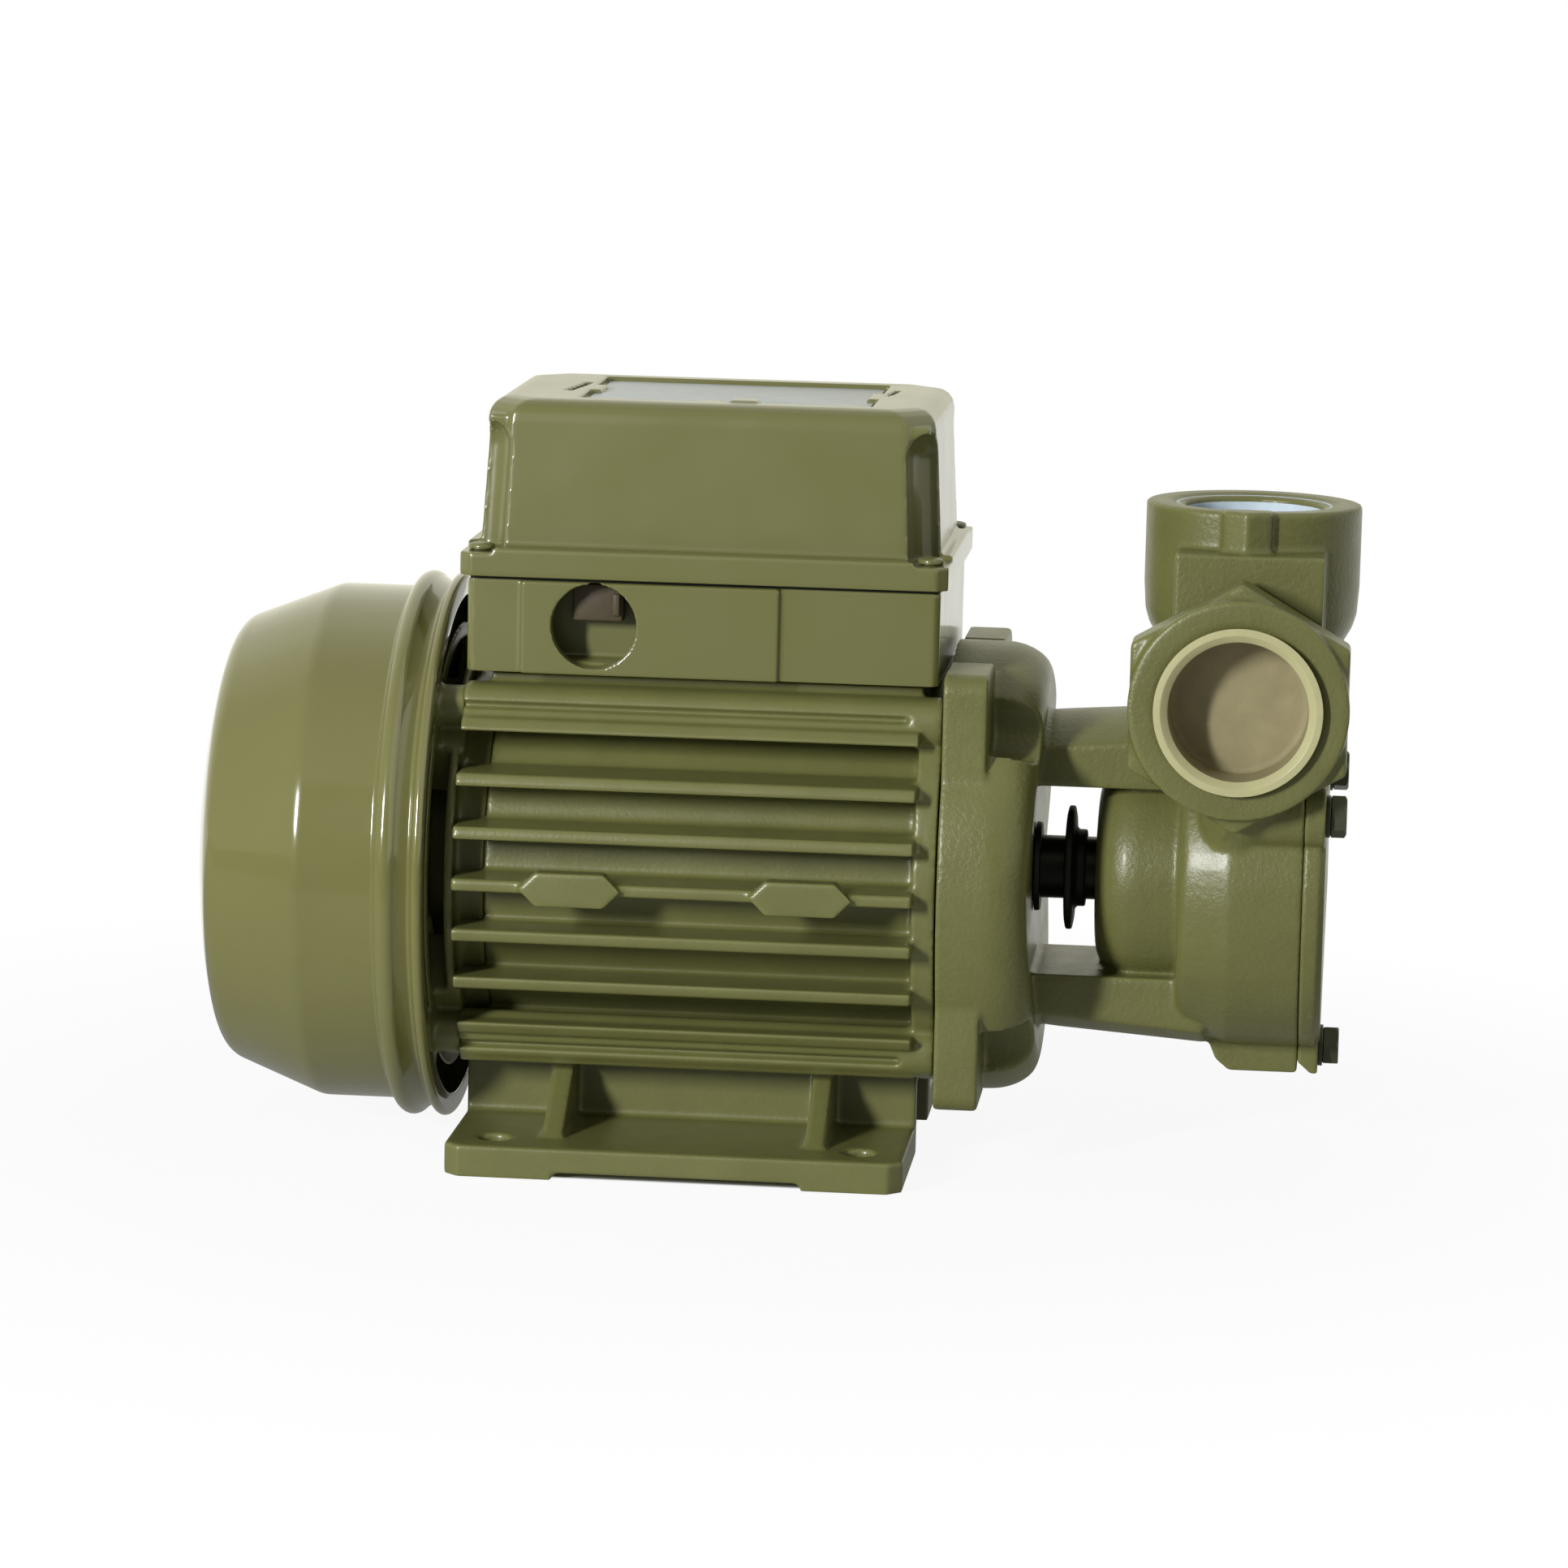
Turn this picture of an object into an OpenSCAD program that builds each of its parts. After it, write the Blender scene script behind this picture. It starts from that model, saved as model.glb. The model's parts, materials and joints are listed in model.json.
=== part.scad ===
// Close-coupled single-phase water pump: a foot-mounted fan-cooled motor, an open
// lantern with a mechanical seal, and a peripheral pump end with two screwed ports.
// Millimetres. X runs along the shaft towards the pump, Z is up, and the feet stand
// on z = 0 with the centre of their four holes at the origin.

/* [Feet] */
// Height of the shaft axis above the feet
shaft_h = 63; // [60:1:71]
// Spacing of the foot holes along the shaft
hole_dx = 80; // [70:1:86]
// Spacing of the foot holes across the shaft
hole_dy = 100; // [92:1:106]
// Diameter of the foot holes
foot_hole_d = 7; // [5:0.5:9]
// Length of the feet along the shaft
foot_len = 100; // [98:1:100]
// Width over both feet
foot_w = 120; // [114:1:124]
// Thickness of the feet
foot_t = 7; // [5:0.5:9]
// Thickness of the two upright webs under the barrel
web_t = 5; // [4:0.5:7]
// Distance between the inner faces of the webs
web_gap = 36; // [30:1:40]

/* [Motor] */
// Outer radius of the motor barrel
barrel_r = 41; // [40:0.5:42]
// Wall of the motor barrel
barrel_wall = 3.5; // [3:0.25:4]
// Overall length of the finned housing up to its front ring
housing_len = 100; // [98:1:100]
// Radius that the fin tips reach
fin_r = 54; // [50:1:55]
// Thickness of a fin
fin_t = 2.8; // [2:0.1:3.2]
// Spacing of the fins
fin_pitch = 11.2; // [11:0.05:11.4]
// Length of the laminated stator and rotor packs
stack_len = 60; // [50:1:64]
// Radius of the stator bore
bore_r = 22; // [21:0.5:24]
// Air gap between the rotor and the stator
air_gap = 0.3; // [0.25:0.05:0.5]

/* [Fan end] */
// Outer radius of the fan cover
cover_r = 57.7; // [57:0.1:58]
// Radius of the two beads around the cover's rim
bead_peak_r = 61.2; // [60.5:0.1:61.5]
// Sheet thickness of the fan cover
cover_t = 1.5; // [1.2:0.1:2]
// Length of the fan cover
cover_len = 55; // [52:0.5:58]
// Radius of the fan
fan_r = 46; // [40:1:46]
// Number of fan blades
blade_n = 9; // [7:1:11]
// Number of air slots in the cover's end
slot_n = 20; // [14:1:22]

/* [Shaft and bearings] */
// Bore of the two ball bearings
brg_bore = 15; // [14:0.5:16]
// Outside diameter of the bearings
brg_od = 35; // [34:0.5:35]
// Width of the bearings
brg_w = 11; // [10:0.5:11]
// Diameter of the shaft in the lantern
shaft_d = 14; // [13:0.5:14]
// Diameter of the shaft under the impeller
imp_seat_d = 12; // [11:0.5:12]
// Radius of the rubber slinger disc
slinger_r = 13.8; // [12:0.2:14]

/* [Pump end] */
// Radius of the front shield
shield_r = 50; // [49:0.5:50]
// Length of the front shield
shield_len = 18.5; // [18:0.5:20]
// Length of the open window between the shield and the seal hub
window_len = 14.2; // [13:0.1:16]
// Clear height between the two lantern arms
window_h = 42; // [38:1:43]
// Width of the lantern arms
arm_w = 38; // [34:1:40]
// Outer radius of the pump casing
casing_r = 37.7; // [37:0.1:39]
// Length of the pump casing from its machined face back
casing_len = 27; // [26:0.5:28]
// Thickness of the pump cover
lid_plate_t = 4.8; // [4:0.2:6]
// Radius of the impeller
impeller_r = 29; // [28:0.25:29.25]
// Width of the impeller rim
impeller_w = 10; // [9:0.25:10.5]
// Number of impeller vanes
vane_n = 28; // [20:1:32]
// Radius of the circle of cover bolts
cover_bolt_r = 38; // [37.75:0.25:38.5]

/* [Ports] */
// Diameter of both screwed ports, the minor diameter of a G 1 thread
port_d = 30.3; // [28:0.1:31]
// Depth of each port to its flat floor
port_depth = 16.5; // [14:0.5:17]
// Radius of the machined face around each port
port_face_r = 18.2; // [17:0.1:20]
// Height of the suction port above the shaft
suction_rise = 43.2; // [42:0.2:44]
// Distance from the shaft plane to the suction port's face
suction_reach = 47.2; // [46:0.2:49]
// Width across the flats of the suction port's hexagon
suction_af = 47; // [46:0.5:48]
// Height of the discharge face above the shaft
discharge_rise = 83.3; // [82:0.1:86]
// Outer radius of the discharge boss
discharge_r = 23.7; // [22.5:0.1:24]

/* [Terminal box] */
// Length of the box base
box_len = 103; // [100:1:104]
// Width of the box base
box_w = 77.4; // [75:0.2:79]
// Height of the box base
box_h = 20.3; // [20:0.1:23]
// Height of the lid above its flange
lid_h = 31.8; // [30:0.2:34]
// Thickness of the lid's flange
flange_t = 6.2; // [5.6:0.1:7]
// Wall of the plastic box
box_wall = 2.5; // [2.2:0.1:3]
// Diameter of the cable entry
entry_d = 18.6; // [16:0.1:18.8]

/* [Hidden] */
$fn = 72;

olive = [0.42, 0.42, 0.25];
olive_gloss = [0.47, 0.46, 0.28];
steel = [0.62, 0.63, 0.64];
dark = [0.09, 0.10, 0.09];
eps = 0.01;
// Clearance of parts that are pushed into one another but stay put.
fit = 0.05;
// Gap kept between neighbouring parts that do not touch.
gap = 0.3;

// Stations along the shaft.
house_x0 = -housing_len / 2;
house_x1 = housing_len / 2;
barrel_x0 = house_x0 + 5.4;
front_ring_t = 5;
shield_x0 = house_x1 + front_ring_t;
shield_x1 = shield_x0 + shield_len;
hub_x0 = shield_x1 + window_len;
hub_len = 18.8;
casing_x0 = hub_x0 + hub_len;
casing_x1 = casing_x0 + casing_len;
casing_step_x = casing_x0 + 11;
pump_cover_x1 = casing_x1 + lid_plate_t;
inner_r = barrel_r - barrel_wall;
front_ring_r = shield_r - 1.5;
spigot_l = 3.2;

// Bearings.
front_brg_x = shield_x0 + 2;
rear_brg_x1 = barrel_x0 - 1.4;
rear_brg_x0 = rear_brg_x1 - brg_w;
ball_r = 3;
ball_pitch_r = (brg_bore + brg_od) / 4;
race_r = ball_r + 0.08;
race_gap_in = ball_pitch_r - 2.1;
race_gap_out = ball_pitch_r + 2.1;
ball_n = 8;
cage_t = 1.3;
cage_w = 8;

// Tie bolts and their bosses.
tie_y = 34;
tie_z = 36.5;
bolt_d = 5;
bolt_clear = 0.25;
bolt_af = 8;
bolt_head_h = 3.5;
washer_t = 1;
washer_r = 4.6;
boss_r = 5.5;
ear_t = 9.5;
ear_y = 43.4;
ear_z = 48;
arm_root_r = 34.8;
rear_web_x0 = house_x0 - 3;
rear_lug_x0 = house_x0 - 10.3;
rear_lug_w = 16;
rear_rim_r = 50;
rear_rim_t = 4;
lug_w = 16;
lug_drop = 43.1;

// Housing ledges.
ledge_y = 36.5;
ledge_top = 40.7;
ledge_t = 3.2;
seat_y = 33;
seat_rise = 44;
box_rise = 44.8;
base_ledge_top = -39.8;
base_ledge_t = 2.4;
web_top_r = 33;
web_seat_z = shaft_h + base_ledge_top - base_ledge_t;
rib_xs = [-27.5, 30];
rib_t = 4.6;
pad_xs = [-23.9, 26.1];
pad_len = 22.4;
pad_h = 7.4;
pad_stand = 2;
foot_relief = 1.5;
wire_hole = [14, 12];
wire_x = stack_len / 2 + 6;

// Fan cover.
cover_x1 = house_x0 - 5.3;
cover_x0 = cover_x1 - cover_len;
bead_r = 2.5;
bead1_x = cover_x1 - bead_r;
bead2_x = bead1_x - 2 * bead_r - 1.2;
cover_cyl_x = cover_x0 + 26.5;
cover_corner_x = cover_x0 + 6;
cover_corner_r = cover_r - 9;
cover_end_r = cover_corner_r - 8;
cover_dome = 1.6;
snap_gap = 0.2;
fan_seat_d = 12;
fan_x0 = rear_brg_x0 - 37;
fan_w = 19;
fan_disc_t = 2.4;
fan_hub_r = 13;
shaft_x0 = fan_x0 - 4;

// Seal and impeller.
seat_x0 = hub_x0 + 4.5;
seat_t = 5;
seat_r = 13;
gasket_t = 1.5;
chamber_r = 16.5;
imp_x1 = casing_x1 - 2.4;
imp_x0 = imp_x1 - impeller_w;
imp_side_gap = 0.4;
channel_r = impeller_r + 3.6;
channel_in_r = impeller_r - 5;
channel_x0 = imp_x0 - 3.2;
imp_hub_r = 10;
imp_hub_x0 = imp_x0 - 6.5;
key_w = 4;
key_h = 4;
circlip_t = 1;
shaft_x1 = imp_x1 + 0.9;
retainer_t = 1.5;
seal_wire_r = 0.7;
seal_turns = 4;
rotor_od_r = bore_r - air_gap;
seal_head_x0 = seat_x0 + gasket_t + seat_t + 0.05;
seal_head_x1 = seal_head_x0 + 6;
retainer_x1 = imp_hub_x0 - 0.1;
o_ring_r = channel_r + 1.2;
o_ring_w = 0.7;

// Ports.
port_x = casing_x1 - 15;
discharge_x = casing_x1 - 13.9;
suction_z = shaft_h + suction_rise;
discharge_z = shaft_h + discharge_rise;
port_sink = 0.6;
front_block_w = 32.4;
passage_r = 7.5;
discharge_pass_y = 6;
inlet_r = 5;
inlet_wall = 2.8;
inlet_lean = 30;
inlet_y = -suction_reach + 10.2;
inlet_z = suction_z - port_d / 2;
stripper_y0 = -19;
stripper_y1 = discharge_pass_y - passage_r - 0.5;
collar_h = 18;

// Terminal box.
box_x = 2;
box_z0 = shaft_h + box_rise;
box_z1 = box_z0 + box_h;
lid_z0 = box_z1 + 0.8;
flange_z1 = lid_z0 + flange_t;
lid_z1 = flange_z1 + lid_h;
flange_len = box_len + 3.3;
flange_w = box_w + 5.6;
lid_len = box_len - 2;
lid_w = box_w - 5.4;
lid_taper = 1.6;
corner_cut = 6;
entry_x = -21.6;
entry_z = box_z0 + 10.7;
lid_screw_x = lid_len / 2 - 1.5;
lid_screw_y = lid_w / 2 - 1.5;
screw_r = 1.9;
plate_len = 62;
plate_w = 48;
plate_t = 0.5;
plate_x = box_x + 2.5;
recess_t = 1.4;
cap_r = 13.5;
cap_len = 62;
cap_x0 = -30;
cap_y = 14;
cap_z = box_z1 + 10;
block_x = -12;
block_len = 44;
block_y = -14;
floor_z = box_z0 + box_wall;
block_h = 11;
earth_at = [44, -16];
lead_n = 4;
lead_pitch = 2.8;
lead_r = 0.9;
winding_gap = 2.5;

// Cylinder along the shaft axis from x0 to x1.
module rod(x0, x1, r) {
    translate([x0, 0, shaft_h]) rotate([0, 90, 0]) cylinder(r = r, h = x1 - x0);
}

// Tube along the shaft axis.
module tube(x0, x1, ro, ri) {
    difference() {
        rod(x0, x1, ro);
        rod(x0 - 1, x1 + 1, ri);
    }
}

// Cone along the shaft axis.
module taper(x0, x1, r0, r1) {
    translate([x0, 0, shaft_h]) rotate([0, 90, 0]) cylinder(r1 = r0, r2 = r1, h = x1 - x0);
}

// Solid of revolution about the shaft axis from [radius, x] points.
module turned(points) {
    translate([0, 0, shaft_h]) rotate([0, 90, 0]) rotate_extrude() polygon(points);
}

// Ring of circular section about the shaft axis.
module hoop(x, r, section_r) {
    translate([x, 0, shaft_h]) rotate([0, 90, 0]) rotate_extrude()
        translate([r, 0]) circle(r = section_r, $fn = 32);
}

// Block between two corners.
module block(a, b) {
    translate(a) cube(b - a);
}

// Cylinder along X at a given y and z.
module bar(x0, x1, y, z, r) {
    translate([x0, y, z]) rotate([0, 90, 0]) cylinder(r = r, h = x1 - x0);
}

// Cylinder along -Y from y0 (near the shaft) to y1 (towards the front).
module front_bar(x, z, y0, y1, r, sides = 72) {
    translate([x, y0, z]) rotate([90, 0, 0]) rotate([0, 0, 30])
        cylinder(r = r, h = y0 - y1, $fn = sides);
}

module upright(x, y, z0, z1, r, sides = 72) {
    translate([x, y, z0]) cylinder(r = r, h = z1 - z0, $fn = sides);
}

// Hexagon-head screw along X: the head's seat lies at x, the thread runs to x_end.
module hex_screw_x(x, x_end, y, z, d, af, head_h) {
    bar(min(x, x_end), max(x, x_end), y, z, d / 2);
    translate([x_end > x ? x - head_h : x, y, z]) rotate([0, 90, 0])
        cylinder(d = af / cos(30), h = head_h, $fn = 6);
}

// Cheese-head screw pointing down, with a slot: the head's seat lies at z.
module cheese_screw(x, y, z, z_end, d, head_r, head_h) {
    difference() {
        union() {
            upright(x, y, z_end, z, d / 2, 32);
            upright(x, y, z, z + head_h, head_r, 40);
        }
        block([x - head_r - 1, y - 0.4, z + head_h - 0.8], [x + head_r + 1, y + 0.4, z + head_h + 1]);
    }
}

// Rectangle with its corners cut off at 45 degrees, centred.
module cut_rect(l, w, c) {
    polygon([[-l / 2 + c, -w / 2], [l / 2 - c, -w / 2], [l / 2, -w / 2 + c], [l / 2, w / 2 - c],
        [l / 2 - c, w / 2], [-l / 2 + c, w / 2], [-l / 2, w / 2 - c], [-l / 2, -w / 2 + c]]);
}

// Points of an arc in a turned profile, as [radius, x].
function arc(r0, x0, r, a0, a1, n = 8) =
    [for (i = [0:n]) let (a = a0 + (a1 - a0) * i / n) [r0 + r * cos(a), x0 + r * sin(a)]];

// Mesh of a round wire wound about the x axis, for the seal spring.
function coil_point(i, n, x0, x1, r) =
    let (t = i / n) [x0 + (x1 - x0) * t, r * cos(360 * seal_turns * t), r * sin(360 * seal_turns * t)];
function coil_ring(i, n, x0, x1, r, w) =
    let (t = i / n, a = 360 * seal_turns * t, p = coil_point(i, n, x0, x1, r))
    [for (k = [0:7]) let (b = 45 * k)
        [p[0] + w * sin(b), p[1] + w * cos(b) * cos(a), p[2] + w * cos(b) * sin(a)]];
module coil(x0, x1, r, w) {
    n = 20 * seal_turns;
    rings = [for (i = [0:n]) each coil_ring(i, n, x0, x1, r, w)];
    sides = [for (i = [0:n - 1], k = [0:7])
        [8 * i + k, 8 * i + (k + 1) % 8, 8 * (i + 1) + (k + 1) % 8, 8 * (i + 1) + k]];
    ends = [[for (k = [0:7]) 7 - k], [for (k = [0:7]) 8 * n + k]];
    translate([0, 0, shaft_h]) polyhedron(points = rings, faces = concat(sides, ends), convexity = 8);
}

// ---- Motor housing ----

module foot_pair() {
    for (s = [-1, 1]) {
        y0 = s > 0 ? web_gap / 2 : -foot_w / 2;
        y1 = s > 0 ? foot_w / 2 : -web_gap / 2;
        difference() {
            block([-foot_len / 2, y0, 0], [foot_len / 2, y1, foot_t]);
            block([-hole_dx / 2 + 14, y0 - 1, -1], [hole_dx / 2 - 12, y1 + 1, foot_relief]);
            for (e = [-1, 1]) {
                upright(e * hole_dx / 2, s * hole_dy / 2, -1, foot_t + 1, foot_hole_d / 2);
                translate([e * foot_len / 2, s * foot_w / 2, -1]) rotate([0, 0, 45])
                    translate([-2.1, -2.1, 0]) cube([4.2, 4.2, foot_t + 2]);
            }
        }
        block([-foot_len / 2, min(s * web_gap / 2, s * (web_gap / 2 + web_t)), foot_t - eps],
            [foot_len / 2, max(s * web_gap / 2, s * (web_gap / 2 + web_t)), web_seat_z]);
        for (x = rib_xs) foot_rib(x, s);
    }
}

// Gusset from the web out over the foot.
module foot_rib(x, s) {
    y_in = web_gap / 2 + web_t - eps;
    translate([x + rib_t / 2, 0, 0]) rotate([0, -90, 0]) linear_extrude(rib_t)
        polygon([[foot_t - eps, s * y_in], [foot_t - eps, s * (hole_dy / 2 + 0.5)],
            [web_seat_z, s * (y_in + 6)], [web_seat_z, s * y_in]]);
}

// Both feet with their webs and gussets. They run on into the housing's lower ledge.
module motor_feet() {
    color(olive) foot_pair();
}

module fins() {
    intersection() {
        rod(house_x0, house_x1, fin_r);
        for (k = [-3:3], s = [-1, 1])
            block([house_x0, min(s * 18, s * fin_r), shaft_h + k * fin_pitch - fin_t / 2],
                [house_x1, max(s * 18, s * fin_r), shaft_h + k * fin_pitch + fin_t / 2]);
    }
}

// Elongated hexagonal pads on the middle fin of each side.
module fin_pads() {
    h = pad_h / 2;
    l = pad_len / 2;
    for (x = pad_xs, s = [-1, 1])
        translate([x, s * (fin_r - 3), shaft_h]) rotate([s > 0 ? -90 : 90, 0, 0])
            linear_extrude(3 + pad_stand)
                polygon([[-l, 0], [-l + h, h], [l - h, h], [l, 0], [l - h, -h], [-l + h, -h]]);
}

// Four bars along the tie bolts.
module tie_bars(x0, x1, r) {
    for (s = [-1, 1], t = [-1, 1]) bar(x0, x1, s * tie_y, shaft_h + t * tie_z, r);
}

module motor_housing() {
    color(olive) difference() {
        union() {
            rod(barrel_x0, house_x1, barrel_r);
            fins();
            fin_pads();
            // Roots of the foot webs between the lower ledge and the barrel.
            for (s = [-1, 1])
                block([house_x0, min(s * web_gap / 2, s * (web_gap / 2 + web_t)), web_seat_z],
                    [house_x1, max(s * web_gap / 2, s * (web_gap / 2 + web_t)), shaft_h - web_top_r]);
            // Upper ledge, box seat and lower ledge.
            block([house_x0, -ledge_y, shaft_h + ledge_top - ledge_t],
                [house_x1, ledge_y, shaft_h + ledge_top]);
            block([barrel_x0, -seat_y, shaft_h + inner_r + 1], [house_x1, seat_y, shaft_h + seat_rise]);
            block([house_x0, -ledge_y, shaft_h + base_ledge_top - base_ledge_t],
                [house_x1, ledge_y, shaft_h + base_ledge_top]);
            tie_bars(house_x0, house_x1, boss_r);
        }
        rod(barrel_x0 - 1, house_x1 + 1, inner_r);
        rod(house_x0 - 1, barrel_x0, barrel_r + gap);
        tie_bars(house_x0 - 1, house_x1 + 1, bolt_d / 2 + bolt_clear);
        // Way for the leads up into the box.
        block([wire_x - wire_hole[0] / 2, -wire_hole[1] / 2, shaft_h + inner_r - 4],
            [wire_x + wire_hole[0] / 2, wire_hole[1] / 2, shaft_h + seat_rise + 1]);
        // Tapped holes for the box and its earth screw.
        for (p = concat(base_screw_points(), [earth_at]))
            upright(p[0], p[1], shaft_h + seat_rise - 4, shaft_h + seat_rise + 1, screw_r + fit, 32);
    }
}

// Flange round the housing's front end, with its share of the four bosses.
module front_flange() {
    color(olive) difference() {
        union() {
            rod(house_x1, shield_x0, front_ring_r);
            tie_bars(house_x1, shield_x0, boss_r);
        }
        rod(house_x1 - 1, shield_x0 + 1, inner_r);
        // Faced off where the box passes over it.
        block([house_x1 - 1, -seat_y, shaft_h + seat_rise],
            [shield_x0 + 1, seat_y, shaft_h + seat_rise + 20]);
        tie_bars(house_x1 - 1, shield_x0 + 1, bolt_d / 2 + bolt_clear);
    }
}

function base_screw_points() = [for (x = [box_x - 41, box_x + 41], y = [-24, 24]) [x, y]];

module stator_core() {
    color("gray") difference() {
        tube(-stack_len / 2, stack_len / 2, inner_r - fit, bore_r);
        for (a = [0:15:345])
            translate([0, 0, shaft_h]) rotate([a, 0, 0])
                block([-stack_len / 2 - 1, -1.6, bore_r + 1.2], [stack_len / 2 + 1, 1.6, inner_r - 5]);
    }
}

module stator_windings() {
    color([0.72, 0.40, 0.18]) {
        for (s = [-1, 1]) {
            x0 = s > 0 ? stack_len / 2 : -stack_len / 2 - 11;
            turned([[bore_r + 2, x0 + 2], [bore_r + 4, x0], [inner_r - winding_gap - 2, x0],
                [inner_r - winding_gap, x0 + 2], [inner_r - winding_gap, x0 + 9],
                [inner_r - winding_gap - 2, x0 + 11],
                [bore_r + 4, x0 + 11], [bore_r + 2, x0 + 9]]);
        }
        for (a = [0:15:345])
            translate([0, 0, shaft_h]) rotate([a, 0, 0])
                block([-stack_len / 2 - eps, -1.5, bore_r + 2.6], [stack_len / 2 + eps, 1.5, inner_r - 5.2]);
    }
}

// ---- Rear shield and fan end ----

module rear_shield() {
    color(olive) difference() {
        union() {
            rod(rear_web_x0, barrel_x0, barrel_r);
            rod(rear_web_x0, house_x0 - 1, rear_rim_r - rear_rim_t / 2);
            tube(rear_lug_x0 + 3.5, house_x0 - 1, rear_rim_r, rear_rim_r - rear_rim_t);
            rod(barrel_x0 - eps, barrel_x0 + spigot_l, inner_r - fit);
            rod(rear_brg_x0 - 3, barrel_x0, brg_od / 2 + 4);
            // Four lugs that take the tie bolts and carry the fan cover's rim.
            intersection() {
                rod(rear_lug_x0, house_x0, cover_r - cover_t - snap_gap);
                for (s = [-1, 1], t = [-1, 1])
                    translate([0, 0, shaft_h]) rotate([atan2(-s * tie_y, t * tie_z), 0, 0])
                        block([rear_lug_x0, -rear_lug_w / 2, barrel_r - 12],
                            [house_x0, rear_lug_w / 2, cover_r + 5]);
            }
        }
        rod(rear_brg_x0 - 0.8, barrel_x0 + spigot_l + 1, brg_od / 2 + fit);
        rod(rear_brg_x0 - 4, barrel_x0, brg_bore / 2 + 1);
        rod(barrel_x0 - 1.4, barrel_x0 + spigot_l + 1, inner_r - 5);
        for (s = [-1, 1], t = [-1, 1])
            bar(rear_lug_x0 - 1, house_x0 + 1, s * tie_y, shaft_h + t * tie_z, bolt_d / 2 + bolt_clear);
    }
}

module wave_washer() {
    color(steel) tube(rear_brg_x0 - 0.7, rear_brg_x0 - 0.1, brg_od / 2 - 0.3, brg_od / 2 - 3.3);
}

// Half section of the fan cover, outside and inside.
function cover_outline(t) = concat(
    [[cover_r - t, cover_x1 - (t > 0 ? -1 : 1)]],
    [[cover_r - t, cover_cyl_x]],
    arc(cover_corner_r - 5, cover_corner_x + 1.4, 5 - t * 0.9, -22, -78, 6),
    [[cover_end_r * 0.5, cover_x0 + t + cover_dome * 0.25], [0, cover_x0 + t]],
    [[0, cover_x1 - (t > 0 ? -1 : 1)]]);

module fan_cover() {
    color(olive_gloss) difference() {
        union() {
            turned(cover_outline(0));
            hoop(bead1_x, bead_peak_r - bead_r, bead_r);
            hoop(bead2_x, bead_peak_r - bead_r, bead_r);
            rod(bead2_x - bead_r, cover_x1, bead_peak_r - bead_r + 0.6);
        }
        turned(cover_outline(cover_t));
        for (i = [0:slot_n - 1])
            translate([cover_x0 - 2, 0, shaft_h]) rotate([i * 360 / slot_n, 0, 0]) {
                block([0, -1.6, 14], [9, 1.6, cover_end_r - 2]);
                translate([0, 0, cover_end_r - 2]) rotate([0, 90, 0]) cylinder(r = 1.6, h = 9, $fn = 24);
                translate([0, 0, 14]) rotate([0, 90, 0]) cylinder(r = 1.6, h = 9, $fn = 24);
            }
    }
}

module cooling_fan() {
    color([0.16, 0.16, 0.15]) difference() {
        union() {
            rod(fan_x0, fan_x0 + fan_w + fan_disc_t, fan_hub_r);
            rod(fan_x0 + fan_w, fan_x0 + fan_w + fan_disc_t, fan_r);
            for (i = [0:blade_n - 1])
                translate([0, 0, shaft_h]) rotate([i * 360 / blade_n, 0, 0])
                    block([fan_x0 + 2, -0.9, fan_hub_r - 1], [fan_x0 + fan_w + eps, 0.9, fan_r - 1]);
        }
        rod(fan_x0 - 1, fan_x0 + fan_w + fan_disc_t + 1, fan_seat_d / 2 + fit);
    }
}

module fan_circlip() {
    color(steel) difference() {
        tube(fan_x0 - 1.3, fan_x0 - 0.3, fan_seat_d / 2 + 2, fan_seat_d / 2 - 0.4);
        block([fan_x0 - 3, -1.5, shaft_h + 2], [fan_x0 + 1, 1.5, shaft_h + 12]);
    }
}

// ---- Bearings ----

module bearing_outer(x0) {
    difference() {
        tube(x0, x0 + brg_w, brg_od / 2, race_gap_out);
        hoop(x0 + brg_w / 2, ball_pitch_r, race_r);
    }
}

module bearing_inner(x0) {
    difference() {
        tube(x0, x0 + brg_w, race_gap_in, brg_bore / 2 + 0.02);
        hoop(x0 + brg_w / 2, ball_pitch_r, race_r);
    }
}

module balls(x0, r) {
    for (i = [0:ball_n - 1])
        translate([x0 + brg_w / 2, 0, shaft_h]) rotate([i * 360 / ball_n, 0, 0])
            translate([0, 0, ball_pitch_r]) sphere(r = r, $fn = 40);
}

module bearing_cage(x0) {
    difference() {
        tube(x0 + brg_w / 2 - cage_w / 2, x0 + brg_w / 2 + cage_w / 2,
            ball_pitch_r + cage_t / 2, ball_pitch_r - cage_t / 2);
        balls(x0, ball_r + 0.1);
    }
}

module front_bearing_outer() { color(steel) bearing_outer(front_brg_x); }
module rear_bearing_outer() { color(steel) bearing_outer(rear_brg_x0); }
module front_bearing_inner() { color(steel) bearing_inner(front_brg_x); }
module rear_bearing_inner() { color(steel) bearing_inner(rear_brg_x0); }
module front_bearing_balls() { color("silver") balls(front_brg_x, ball_r); }
module rear_bearing_balls() { color("silver") balls(rear_brg_x0, ball_r); }
module front_bearing_cage() { color("goldenrod") bearing_cage(front_brg_x); }
module rear_bearing_cage() { color("goldenrod") bearing_cage(rear_brg_x0); }

// ---- Rotor ----

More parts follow.
